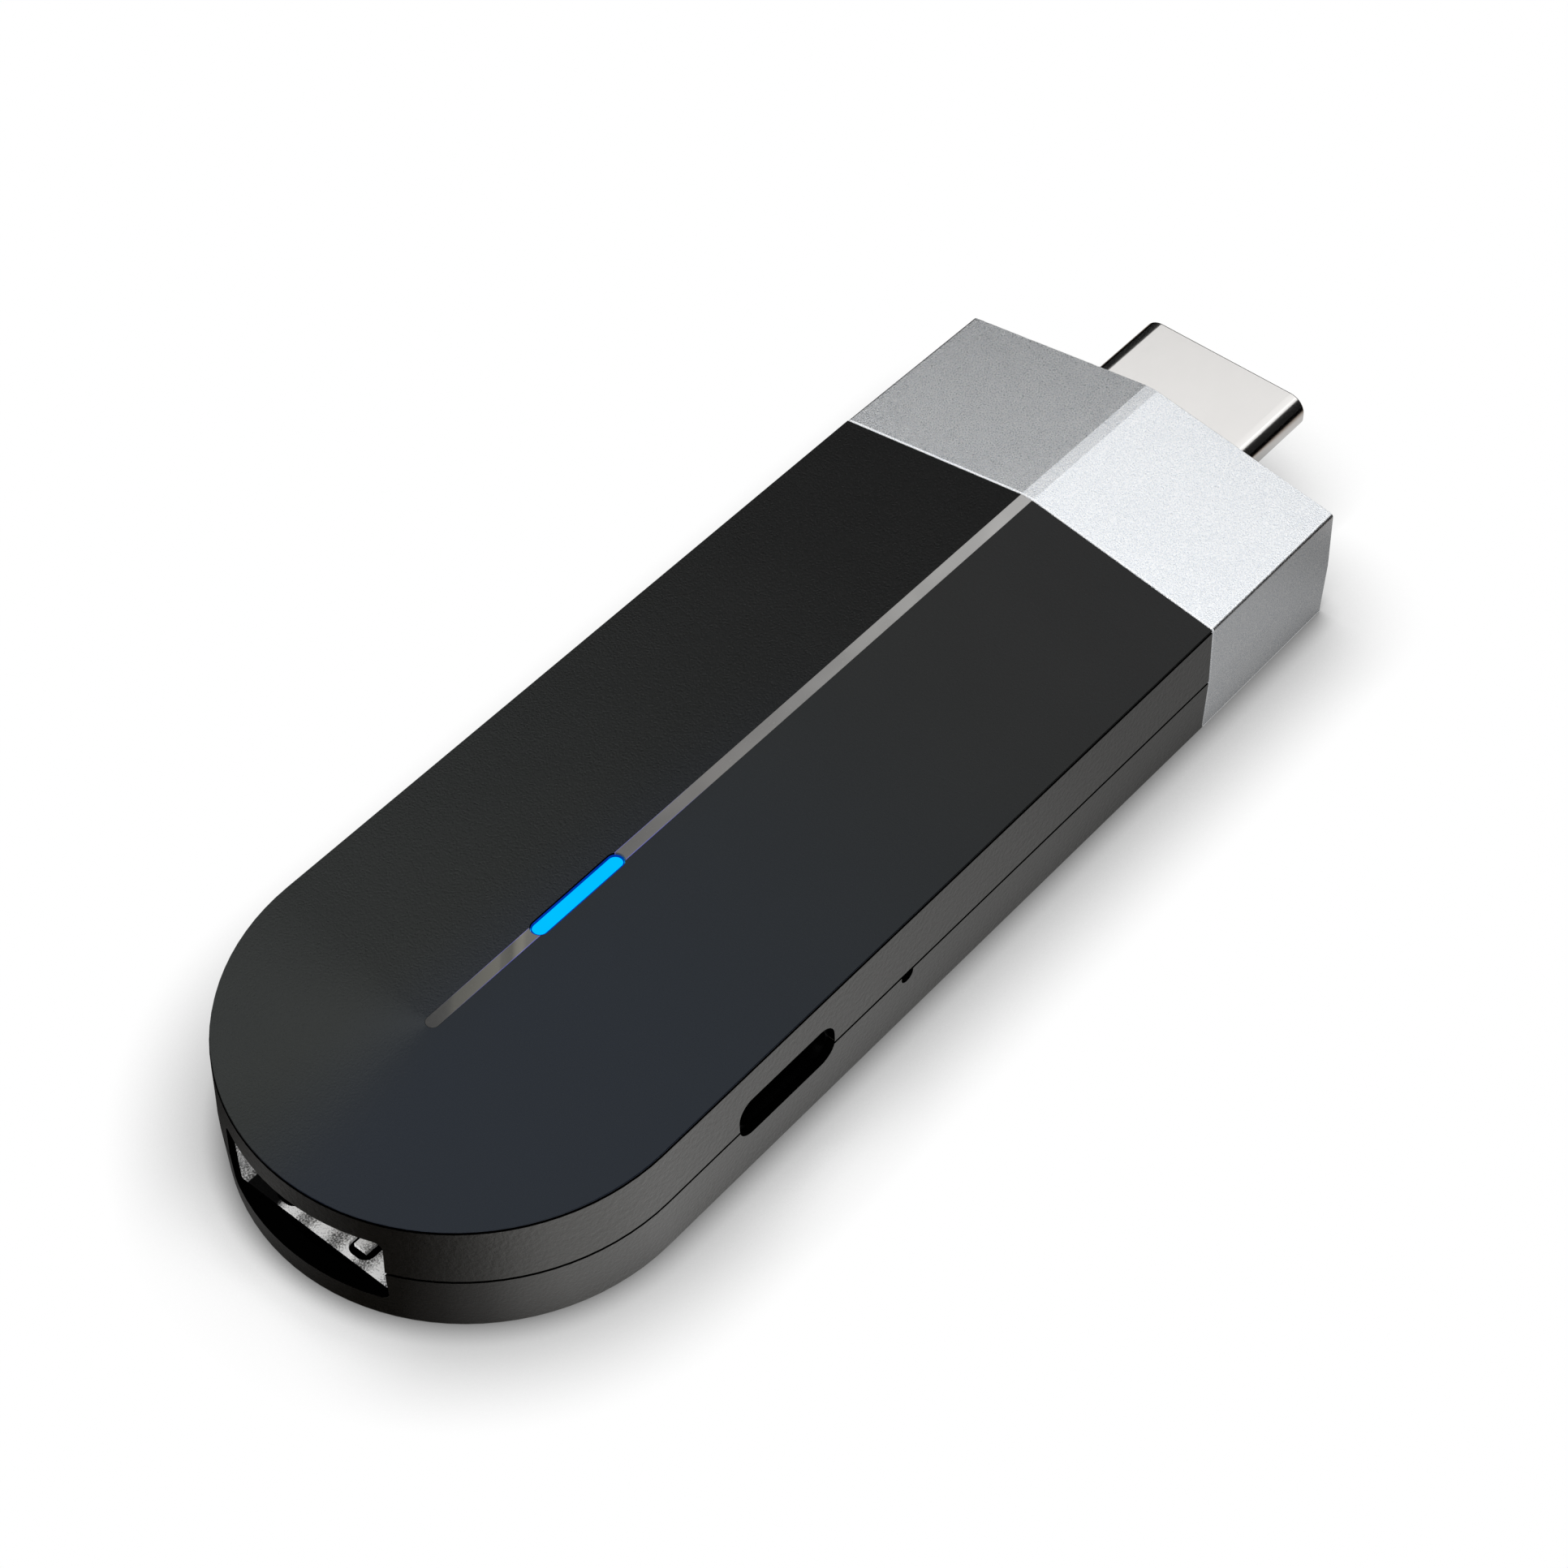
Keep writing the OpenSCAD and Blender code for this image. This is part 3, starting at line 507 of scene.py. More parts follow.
@dataclass(frozen=True)
class Inlay:
    """Glossy inlaid strip with a painted brightness gradient along its length and painted reflections
    in slanting bands.

    A painted glow along the strip's two edges stands for the window's light leaking out.
    """

    name: str
    start_mm: float
    end_mm: float
    stops: tuple[tuple[float, Colour], ...]
    roughness: float = 0.22
    gloss: float = 0.3
    slant: float = -1.15
    reflection_band_mm: float = 3.2
    reflection_band_stretch: tuple[float, float, float] = (1.0, 1.6, 0.2)
    reflection_band_tones: Span = (0.95, 1.05)
    haze_mm: float = 0.25
    haze: Span = (-0.04, 0.06)
    depth_mm: float = 0.0006
    painted_glow: Colour = (0.05, 0.05, 0.4)
    painted_glow_middle: float = -21.49
    painted_glow_reach: Span = (4.0, 13.0)
    painted_glow_edge: Span = (0.41, 0.47)

    def make(self) -> bpy.types.Material:
        """Builds the material.

        Returns:
            The finished material.
        """
        sheet = NodeSheet(self.name)
        x, y = sheet.axis(Along.X), sheet.axis(Along.Y)
        # Painted brightness gradient: the ramp runs along the strip, slanted across it.
        place = sheet.math("ADD", x, sheet.math("MULTIPLY", y, self.slant))
        tint = sheet.ramp(sheet.reach(place, (self.start_mm, self.end_mm), smooth=False), self.stops)
        # Painted reflections: slanting bands that lift and lower the tone.
        bands = sheet.noise(self.reflection_band_mm, detail=1.0, rough=0.4, factors=self.reflection_band_stretch)
        shade = sheet.add("ShaderNodeHueSaturation")
        sheet.join(tint, shade.inputs["Color"])
        sheet.join(sheet.span(bands, NOISE_CORE, self.reflection_band_tones, True), shade.inputs["Value"])
        haze = sheet.noise(self.haze_mm)
        # Painted glow along the strip's edges near the window.
        gap = sheet.math("ABSOLUTE", sheet.math("SUBTRACT", x, self.painted_glow_middle * MM))
        painted_glow = sheet.math("MULTIPLY", sheet.reach(gap, self.painted_glow_reach, FALL),
                          sheet.reach(sheet.math("ABSOLUTE", y), self.painted_glow_edge, smooth=False))
        least, most = (self.roughness + step for step in self.haze)
        return sheet.surface(
            Base_Color=shade.outputs[0],
            Specular_IOR_Level=self.gloss,
            Emission_Color=sheet.blend(painted_glow, BLACK, self.painted_glow),
            Emission_Strength=1.0,
            Roughness=sheet.span(haze, NOISE_RANGE, (least, most)),
            Normal=sheet.bump(haze, self.depth_mm),
        )


@dataclass(frozen=True)
class Glow:
    """Lit resin: the lamp's light with a faint swirl of the diffuser in it."""

    name: str
    colour: Colour
    dark: Colour
    swirl_mm: float = 2.5
    resin: Colour = (0.0, 0.02, 0.05)
    resin_swirl: Colour = (0.0, 0.03, 0.06)
    roughness: float = 0.4

    def make(self) -> bpy.types.Material:
        """Builds the material.

        Returns:
            The finished material.
        """
        sheet = NodeSheet(self.name)
        swirl = sheet.span(sheet.noise(self.swirl_mm), NOISE_RANGE)
        return sheet.surface(
            Base_Color=sheet.blend(swirl, self.resin, self.resin_swirl),
            Roughness=self.roughness,
            Specular_IOR_Level=0.0,
            Emission_Color=sheet.blend(swirl, self.dark, self.colour),
            Emission_Strength=1.0,
        )


@dataclass(frozen=True)
class SolderMask:
    """Circuit board: satin mask over rows of copper tracks, with small plated holes.

    The tracks are the crests of a wave along Y, kept where wide noise is high.
    """

    name: str
    mask: Colour = (0.008, 0.07, 0.035)
    track: Colour = (0.015, 0.13, 0.06)
    copper: Colour = (0.62, 0.42, 0.16)
    pitch_mm: float = 0.8
    wave_unit: float = 0.314
    sway: float = 1.5
    sway_scale: float = 0.4
    track_edge: Span = (0.55, 0.65)
    zone_mm: float = 5.0
    zone_edge: Span = (0.48, 0.52)
    hole_mm: float = 2.6
    hole_edge: Span = (0.09, 0.11)
    haze_mm: float = 0.3
    roughness: Span = (0.3, 0.42)
    depth_mm: float = 0.02

    def make(self) -> bpy.types.Material:
        """Builds the material.

        Returns:
            The finished material.
        """
        sheet = NodeSheet(self.name)
        wave = sheet.add("ShaderNodeTexWave", bands_direction="Y")
        wave.inputs["Scale"].default_value = self.wave_unit / (self.pitch_mm * MM)
        wave.inputs["Distortion"].default_value = self.sway
        wave.inputs["Detail Scale"].default_value = self.sway_scale
        sheet.join(sheet.place, wave.inputs["Vector"])
        rows = sheet.span(wave.outputs["Fac"], self.track_edge)
        zones = sheet.span(sheet.noise(self.zone_mm, detail=0.0), self.zone_edge)
        tracks = sheet.math("MULTIPLY", rows, zones)
        holes = sheet.span(sheet.dots(self.hole_mm), self.hole_edge, FALL)
        colour = sheet.blend(tracks, self.mask, self.track)
        return sheet.surface(
            Base_Color=sheet.blend(holes, colour, self.copper),
            Metallic=holes,
            Roughness=sheet.span(sheet.noise(self.haze_mm), NOISE_RANGE, self.roughness),
            Normal=sheet.bump(sheet.math("ADD", tracks, holes), self.depth_mm),
        )


@dataclass(frozen=True)
class Palette:
    """Every finish of the stick, by what wears it."""

    # The cover's bluer colour and sheen tint towards the round end are painted reflection.
    cover: Moulded = Moulded(
        "cover_black", (0.0042, 0.0043, 0.0042), (0.0033, 0.0034, 0.0033), roughness=0.28, gloss=0.231,
        grain_mm=0.15, depth_mm=0.02, mottle_mm=8.0, spread=0.01, painted_sheen=(0.0036, 0.0054, 0.0118),
        painted_sheen_tint=(0.87, 0.95, 0.92), fine_share=0.5)
    side: Moulded = Moulded(
        "side_black", (0.0046, 0.0038, 0.0028), (0.0034, 0.0027, 0.002), roughness=0.3, gloss=1.0,
        grain_mm=0.36, depth_mm=0.055, mottle_mm=7.0, spread=0.03, tint=(1.0, 0.99, 0.955))
    tray: Moulded = replace(side, name="tray_black", grain_mm=0.3, depth_mm=0.042)
    # Near-black matt material that paints shade on the mouldings' inner faces, gaps and groove walls,
    # and on the data socket's front rim.
    inside: Moulded = Moulded("painted_shade_black", (0.0006, 0.0006, 0.0006), (0.0003, 0.0003, 0.0003),
                              roughness=0.9, gloss=0.0)
    cap: Blasted = Blasted("cap_blasted", WHITE, (0.74, 0.77, 0.81), roughness=0.3, pit_mm=0.085,
                           depth_mm=0.018)
    plug: Plated = Plated("plug_nickel", (0.855, 0.838, 0.82), (0.84, 0.824, 0.806), roughness=0.15,
                          depth_mm=0.0001, haze=(-0.008, 0.008))
    # The socket's stripes are painted reflection streaks and its dark zone is painted shade.
    socket: SatinSheet = SatinSheet("socket_satin", WHITE, streak_dark=(0.08, 0.08, 0.078),
                                    painted_shade=(0.003, 0.003, 0.003))
    # Near-black nickel: painted shade on the power socket's shell.
    port: Plated = Plated("port_painted_shade", (0.02, 0.02, 0.02), (0.014, 0.014, 0.014),
                          roughness=0.25, along=Along.Y)
    # The strip's ramp is a painted brightness gradient, brighter towards the cap, with painted
    # reflections near the window.
    strip: Inlay = Inlay("strip_grey", start_mm=-35.0, end_mm=23.7, stops=(
        (0.0, (0.014, 0.0135, 0.0125)), (0.033, (0.0297, 0.029, 0.026)), (0.042, (0.056, 0.054, 0.045)),
        (0.109, (0.094, 0.09, 0.075)), (0.113, (0.066, 0.064, 0.056)), (0.128, (0.055, 0.053, 0.043)),
        (0.136, (0.115, 0.111, 0.091)), (0.145, (0.138, 0.132, 0.108)), (0.152, (0.103, 0.099, 0.086)),
        (0.3, (0.09, 0.088, 0.085)), (0.45, (0.15, 0.145, 0.139)), (0.58, (0.178, 0.174, 0.169)),
        (0.73, (0.243, 0.238, 0.23)), (0.83, (0.281, 0.276, 0.268)), (1.0, (0.361, 0.353, 0.345))))
    lamp_face: Glow = Glow("lamp_face", (0.0, 0.505, 1.0), (0.0, 0.49, 1.0))
    lamp_wall: Glow = Glow("lamp_wall", (0.0, 0.014, 0.36), (0.0, 0.009, 0.27), swirl_mm=1.2)
    resin: Moulded = Moulded("insulator_black", (0.012, 0.012, 0.012), (0.008, 0.008, 0.008), gloss=0.4)
    chip: Moulded = Moulded("chip_resin", (0.02, 0.02, 0.021), (0.013, 0.013, 0.014), roughness=0.55,
                            gloss=0.4, grain_mm=0.08, mottle_mm=4.0)
    ferrite: Moulded = Moulded("ferrite_grey", (0.07, 0.07, 0.075), (0.05, 0.05, 0.052), roughness=0.6,
                               gloss=0.4, grain_mm=0.1, depth_mm=0.008, mottle_mm=2.0)
    tan: Moulded = Moulded("ceramic_tan", (0.45, 0.32, 0.2), (0.38, 0.26, 0.16))
    white: Moulded = Moulded("ceramic_white", (0.75, 0.74, 0.7), (0.68, 0.67, 0.63), roughness=0.45)
    lamp_body: Moulded = Moulded("lamp_body", (0.85, 0.85, 0.8), (0.78, 0.78, 0.7), roughness=0.35)
    pad: Moulded = Moulded("pad_rubber", (0.35, 0.42, 0.5), (0.28, 0.34, 0.42), roughness=0.75,
                           gloss=0.3, grain_mm=0.2, depth_mm=0.01)
    button: Moulded = Moulded("button_grey", (0.5, 0.5, 0.47), (0.42, 0.42, 0.4))
    board: SolderMask = SolderMask("board_mask")
    screw: Plated = Plated("screw_zinc", (0.68, 0.69, 0.7), (0.55, 0.56, 0.58), roughness=0.3,
                           along=Along.Z)
    spreader: Plated = Plated("spreader_alloy", (0.62, 0.63, 0.65), (0.54, 0.55, 0.57), roughness=0.35,
                              line_mm=0.15, depth_mm=0.002)
    tin: Plated = Plated("tin_plate", (0.74, 0.73, 0.7), (0.62, 0.61, 0.59), roughness=0.3,
                         along=Along.Y, line_mm=0.12, depth_mm=0.001)
    gold: Plated = Plated("contact_gold", (0.86, 0.62, 0.25), (0.78, 0.54, 0.2), roughness=0.22,
                          line_mm=0.05, depth_mm=0.0005)


# Meshes


def new_piece(name: str, points: np.ndarray, faces: Sequence[Sequence[int]]) -> bpy.types.Object:
    """Makes an object and puts it in the scene.

    Args:
        name: The object's and its mesh's name.
        points: Points in millimetres, three numbers each.
        faces: Rows of point numbers.

    Returns:
        The new object.
    """
    mesh = bpy.data.meshes.new(name)
    mesh.from_pydata((np.asarray(points, float).reshape(-1, 3) * MM).tolist(), [],
                     [list(map(int, f)) for f in faces])
    mesh.validate()
    piece = bpy.data.objects.new(name, mesh)
    bpy.context.scene.collection.objects.link(piece)
    return piece


def smooth_below(piece: bpy.types.Object, degrees: float, broad_mm2: Optional[float] = None) -> None:
    """Shades smooth over edges that bend less than the angle, and sharp over the rest.

    Args:
        piece: The new piece.
        degrees: Largest bend that is shaded smooth.
        broad_mm2: Faces above this area meet in sharp edges, or None.
    """
    mesh = piece.data
    mesh.polygons.foreach_set("use_smooth", np.ones(len(mesh.polygons), dtype=bool))
    mesh.set_sharp_from_angle(angle=math.radians(degrees))
    mesh.update()
    if broad_mm2 is not None:
        crease_broad_faces(mesh, broad_mm2)
    weight = piece.modifiers.new("face_weight", "WEIGHTED_NORMAL")
    weight.mode = "FACE_AREA"
    weight.weight = AREA_WEIGHT
    weight.keep_sharp = True


def crease_broad_faces(mesh: bpy.types.Mesh, broad_mm2: float) -> None:
    """Marks an edge sharp where both its faces are broad and turn more than a little.

    Args:
        mesh: The mesh.
        broad_mm2: The least area of a broad face.
    """
    work = bmesh.new()
    work.from_mesh(mesh)
    for edge in work.edges:
        if len(edge.link_faces) != 2 or edge.calc_face_angle() <= BROAD_BEND:
            continue
        if min(face.calc_area() for face in edge.link_faces) > broad_mm2 * MM ** 2:
            edge.smooth = False
    work.to_mesh(mesh)
    work.free()


def wrap_grid(rows: int, cols: int, wrap_rows: bool, wrap_cols: bool) -> np.ndarray:
    """Quads over a grid of points: cell (i, j) joins points (i, j), (i, j+1), (i+1, j+1), (i+1, j).

    Args:
        rows: Number of rows of points.
        cols: Number of points in a row.
        wrap_rows: True if the last row joins the first.
        wrap_cols: True if each row is a closed ring.

    Returns:
        An (n, 4) array of point numbers.
    """
    i = np.arange(rows if wrap_rows else rows - 1)[:, None]
    j = np.arange(cols if wrap_cols else cols - 1)[None, :]
    a, b = i * cols + j, i * cols + (j + 1) % cols
    c, d = ((i + 1) % rows) * cols + (j + 1) % cols, ((i + 1) % rows) * cols + j
    return np.stack([a, b, c, d], axis=-1).reshape(-1, 4)


def point_outward(piece: bpy.types.Object) -> None:
    """Merges doubled points and turns every face outward.

    Args:
        piece: The new piece.
    """
    work = bmesh.new()
    work.from_mesh(piece.data)
    bmesh.ops.remove_doubles(work, verts=work.verts, dist=MERGE_DISTANCE)
    bmesh.ops.recalc_face_normals(work, faces=work.faces)
    work.to_mesh(piece.data)
    work.free()
    piece.data.update()


def break_edges(piece: bpy.types.Object, chosen: Sequence[bmesh.types.BMEdge],
                work: bmesh.types.BMesh, size_mm: float, steps: int) -> None:
    """Rounds some of a piece's edges and puts the result into its mesh.

    Args:
        piece: The new piece.
        chosen: The edges to round.
        work: The open mesh that they belong to. It is freed.
        size_mm: How far the round reaches from the edge.
        steps: Faces across the round.
    """
    log.info("breaking %d edges of %s", len(chosen), piece.name)
    bmesh.ops.bevel(work, geom=chosen, offset=size_mm * MM, offset_type="OFFSET", segments=steps,
                    profile=0.5, affect="EDGES")
    work.to_mesh(piece.data)
    work.free()


def round_outline(corners: Sequence[tuple[float, float]], radii: Sequence[float], inset: float,
                  steps: int = 10) -> np.ndarray:
    """Closed outline of a polygon with round corners, drawn in by inset.

    Each corner's arc has its centre on the corner's bisector, radius / sin(half angle) away, and the
    inset shortens the radius and keeps the centre.

    Args:
        corners: Polygon corners in millimetres, counter-clockwise.
        radii: Radius of each corner.
        inset: How far the outline is drawn in.
        steps: Segments of each arc.

    Returns:
        An (n, 2) array of points, steps + 1 for each corner.
    """
    p = np.asarray(corners, float)
    r = np.asarray(radii, float)
    into, out = p - np.roll(p, 1, 0), np.roll(p, -1, 0) - p
    into /= np.linalg.norm(into, axis=1, keepdims=True)
    out /= np.linalg.norm(out, axis=1, keepdims=True)
    start = np.arctan2(-into[:, 0], into[:, 1])
    turn = np.arctan2(into[:, 0] * out[:, 1] - into[:, 1] * out[:, 0], (into * out).sum(1))
    bisector = out - into
    bisector /= np.linalg.norm(bisector, axis=1, keepdims=True)
    centre = p + bisector * (r / np.cos(turn / 2))[:, None]
    angle = start[:, None] + turn[:, None] * np.linspace(0, 1, steps + 1)[None, :]
    ring = np.stack([np.cos(angle), np.sin(angle)], -1) * np.maximum(r - inset, 0)[:, None, None]
    return (centre[:, None, :] + ring).reshape(-1, 2)


def stadium(length: float, width: float, steps: int = 24) -> np.ndarray:
    """Outline of a slot with half-round ends, centred on the origin.

    The right end is r (cos a, sin a) for a quarter turn either way, moved out by length / 2 - r with
    r = width / 2, and the left end is its opposite.

    Args:
        length: Length over the ends, in millimetres.
        width: Width in millimetres.
        steps: Segments of each end.

    Returns:
        An (n, 2) array of points.
    """
    r = width / 2
    a = np.linspace(-math.pi / 2, math.pi / 2, steps + 1)
    right = np.stack([length / 2 - r + r * np.cos(a), r * np.sin(a)], -1)
    return np.concatenate([right, -right])


def fair_copy(node: str, name: str) -> bpy.types.Object:
    """Copies a CAD node's mesh, merges its points and joins its flat faces.

    Args:
        node: The CAD node's name.
        name: The new piece's name.

    Returns:
        The new piece.
    """
    work = bmesh.new()
    work.from_mesh(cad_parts[node].data)
    bmesh.ops.remove_doubles(work, verts=work.verts, dist=MERGE_DISTANCE)
    bmesh.ops.dissolve_limit(work, angle_limit=FLAT_ANGLE, verts=work.verts, edges=work.edges)
    work.verts.ensure_lookup_table()
    points = np.array([v.co for v in work.verts]) / MM
    faces = [[v.index for v in f.verts] for f in work.faces]
    work.free()
    return new_piece(name, points, faces)


def dress(piece: bpy.types.Object, material: bpy.types.Material, slot: Slot,
          body: str = STICK, *replaced: str) -> bpy.types.Object:
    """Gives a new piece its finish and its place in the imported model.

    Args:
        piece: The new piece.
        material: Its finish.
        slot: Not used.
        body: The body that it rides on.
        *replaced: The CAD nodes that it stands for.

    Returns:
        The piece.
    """
    piece.data.materials.clear()
    piece.data.materials.append(material)
    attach(piece, body)
    if replaced:
        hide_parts(*replaced)
    log.info("piece %s: %d faces", piece.name, len(piece.data.polygons))
    return piece


def finish_faces(piece: bpy.types.Object, material: bpy.types.Material, chosen: np.ndarray) -> None:
    """Gives the chosen faces of a piece a second finish.

    Args:
        piece: The new piece, already dressed.
        material: The second finish.
        chosen: One true or false for each face.
    """
    piece.data.materials.append(material)
    index = chosen.astype(np.int32) * (len(piece.data.materials) - 1)
    piece.data.polygons.foreach_set("material_index", index)


def face_places(piece: bpy.types.Object) -> tuple[np.ndarray, np.ndarray]:
    """Reads where a piece's faces are and where they point.

    Args:
        piece: The new piece.

    Returns:
        Their centres in millimetres and their normals, as two (n, 3) arrays.
    """
    count = len(piece.data.polygons)
    centres, normals = np.empty(count * 3), np.empty(count * 3)
    piece.data.polygons.foreach_get("center", centres)
    piece.data.polygons.foreach_get("normal", normals)
    return centres.reshape(-1, 3) / MM, normals.reshape(-1, 3)


def paint(node: str, material: bpy.types.Material) -> None:
    """Gives a CAD node a better material through its object's slots.

    Args:
        node: The CAD node's name.
        material: Its finish.
    """
    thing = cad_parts[node]
    if not thing.material_slots:
        thing.data.materials.append(material)
    for place in thing.material_slots:
        place.link = "OBJECT"
        place.material = material
    log.info("node %s: %s", node, material.name)


# The stick


@dataclass
class Case:
    """The three black mouldings, copied from the model, with painted shade on their inner faces.

    The shade is a near-black matt material, also under the eave, on the parting line's lips and on the
    walls of the cover's window and groove.
    """

    bend: float = 35.0
    nose_x: float = -31.44
    half_width: float = 15.87
    skin: float = 0.35
    foot: float = 0.1
    floor_top: float = 1.0
    shelf: float = 9.2
    seam: Span = (4.3, 5.0)
    window_half: float = 1.0
    steep: float = 0.5

    def build(self, palette: Palette) -> None:
        """Builds the top cover, the middle frame and the lower shell.

        Args:
            palette: The finishes.
        """
        inside = palette.inside.make()
        for node, name, finish, slot, shaded_faces in (
                ("top_cover", "roof_cover", palette.cover, Slot.CASE_TOP, self.under_roof),
                ("middle_frame", "side_frame", palette.side, Slot.CASE_SIDE, self.within_wall),
                ("lower_shell", "base_tray", palette.tray, Slot.CASE_SIDE, self.within_wall)):
            piece = fair_copy(node, name)
            smooth_below(piece, self.bend)
            dress(piece, finish.make(), slot, STICK, node)
            # The chosen faces take the near-black material as painted shade.
            finish_faces(piece, inside, shaded_faces(*face_places(piece)))

    def under_roof(self, centres: np.ndarray, normals: np.ndarray) -> np.ndarray:
        """Finds the cover's faces that look down, and the walls of its window and ridge groove.

        These faces take the near-black material as painted shade.

        Args:
            centres: The faces' centres in millimetres.
            normals: The faces' normals.

        Returns:
            One true or false for each face.
        """
        groove = (np.abs(normals[:, 2]) < self.steep) & (np.abs(centres[:, 1]) < self.window_half)
        return (normals[:, 2] < -self.steep) | groove

    def within_wall(self, centres: np.ndarray, normals: np.ndarray) -> np.ndarray:
        """Finds the faces deeper than the skin, the shelf under the eave and the parting line's lips.

        Depth is the outline's half width less the distance from the ridge line, which ends at the
        round end's middle. Faces on the underside are left out. The chosen faces take the near-black
        material as painted shade.

        Args:
            centres: The faces' centres in millimetres.
            normals: The faces' normals.

        Returns:
            One true or false for each face.
        """
        along = np.minimum(centres[:, 0] - self.nose_x, 0.0)
        depth = self.half_width - np.hypot(along, centres[:, 1])
        height, facing = centres[:, 2], normals[:, 2]
        under = (height < self.foot) | ((facing < -self.steep) & (height < self.floor_top))
        shelf = (facing > self.steep) & (height > self.shelf)
        low, high = self.seam
        lips = (np.abs(facing) > self.steep) & (height > low) & (height < high)
        return (depth > self.skin) & ~under | shelf | lips


@dataclass
class Cap:
    """The blasted metal sleeve over the plug end."""

    bend: float = 30.0
    broad: float = 5.0
    back: float = 38.03
    touch: float = 0.03
    inner: tuple[float, float, float] = (10.0, 2.5, 8.6)
    rim: float = 0.07
    rim_bend: float = 45.0
    rim_steps: int = 2

    def build(self, palette: Palette) -> None:
        """Builds the cap.

        Args:
            palette: The finishes.
        """
        piece = fair_copy("end_cap", "metal_cap")
        self.break_back(piece)
        smooth_below(piece, self.bend, self.broad)
        dress(piece, palette.cap.make(), Slot.CAP, STICK, "end_cap")

    def break_back(self, piece: bpy.types.Object) -> None:
        """Breaks the sharp outer edge at the plug's end.

        Args:
            piece: The cap.
        """
        half, low, high = self.inner
        work = bmesh.new()
        work.from_mesh(piece.data)
        outer = []
        for edge in work.edges:
            y, z = (abs(v) / MM for v in ((edge.verts[0].co + edge.verts[1].co) / 2).yz)
            at_back = all(abs(v.co.x / MM - self.back) < self.touch for v in edge.verts)
            beyond = y > half or z < low or z > high
            if at_back and beyond and len(edge.link_faces) == 2:
                if edge.calc_face_angle() > math.radians(self.rim_bend):
                    outer.append(edge)
        break_edges(piece, outer, work, self.rim, self.rim_steps)


@dataclass
class Ridge:
    """The grey strips and the lit window along the ridge."""

    lens_x: float = -21.49
    lens_length: float = 8.14
    lens_width: float = 1.29
    top: float = 12.05
    recess: float = 0.26
    collar: float = 0.07
    gap: float = 0.055
    below: float = 0.12
    bend: float = 35.0

    def build(self, palette: Palette) -> None:
        """Paints the strips and the lens and builds the collar round the lit face.

        Args:
            palette: The finishes.
        """
        strip = palette.strip.make()
        for node in ("long_strip", "short_strip"):
            paint(node, strip)
        paint("status_lens", palette.lamp_face.make())
        dress(self.make_collar(), palette.lamp_wall.make(), Slot.LENS)

    def make_collar(self) -> bpy.types.Object:
        """A thin upright ring round the lit face.

        Four slot outlines, outer low, outer high, inner high and inner low, joined row by row.

        Returns:
            The collar's object.
        """
        outer = stadium(self.lens_length - 2 * self.gap, self.lens_width - 2 * self.gap)
        slim = 2 * (self.gap + self.collar)
        inner = stadium(self.lens_length - slim, self.lens_width - slim)
        low, high = self.top - self.recess - self.gap, self.top - self.below
        rows = [np.column_stack([o + [self.lens_x, 0], np.full(len(o), z)])
                for o, z in ((outer, low), (outer, high), (inner, high), (inner, low))]
        piece = new_piece("window_collar", np.concatenate(rows),
                          wrap_grid(len(rows), len(outer), True, True))
        point_outward(piece)
        smooth_below(piece, self.bend)
        return piece


@dataclass
class VideoPlug:
    """The formed sheet shell of the plug, its insulator and its contacts."""

    back: float = 28.02
    tip: float = 47.36
    top: float = 8.12
    low: float = 3.67
    width: float = 13.9
    base: float = 10.4
    side: float = 1.98
    sheet: float = 0.3
    radius: float = 1.3
    knee_radius: float = 0.75
    base_radius: float = 0.46
    nose_steps: int = 8
    bend: float = 40.0

    def corners(self) -> list[tuple[float, float]]:
        """The corners of the shell's section.

        Returns:
            Them in (Y, Z), counter-clockwise from the near base corner.
        """
        half, foot, knee = self.width / 2, self.base / 2, self.top - self.side
        return [(-foot, self.low), (foot, self.low), (half, knee), (half, self.top),
                (-half, self.top), (-half, knee)]

    def build(self, palette: Palette) -> None:
        """Builds the shell and paints what it holds.

        Args:
            palette: The finishes.
        """
        dress(self.make_shell(), palette.plug.make(), Slot.CONNECTOR, STICK, "plug_shell")
        paint("plug_insulator", palette.resin.make())
        paint("plug_contacts", palette.gold.make())

    def make_shell(self) -> bpy.types.Object:
        """The shell's outline swept along X and turned back inside over a round nose.

        The nose is half a circle of half the sheet's thickness: x = tip - t/2 (1 - sin a) and
        inset = t/2 (1 - cos a), with a from 0 to a half turn.

        Returns:
            The shell's object.
        """
        radii = [self.base_radius, self.base_radius, self.knee_radius, self.radius, self.radius,
                 self.knee_radius]
        a = np.linspace(0, math.pi, self.nose_steps + 1)
        half = self.sheet / 2
        x = np.concatenate([[self.back], self.tip - half + half * np.sin(a), [self.back]])
        inset = np.concatenate([[0.0], half * (1 - np.cos(a)), [self.sheet]])
        rings = []
        for place, depth in zip(x, inset):
            ring = round_outline(self.corners(), radii, depth)
            rings.append(np.column_stack([np.full(len(ring), place), ring]))
        piece = new_piece("plug_sleeve", np.concatenate(rings),
                          wrap_grid(len(rings), len(rings[0]), True, True))
        point_outward(piece)
        smooth_below(piece, self.bend)
        return piece


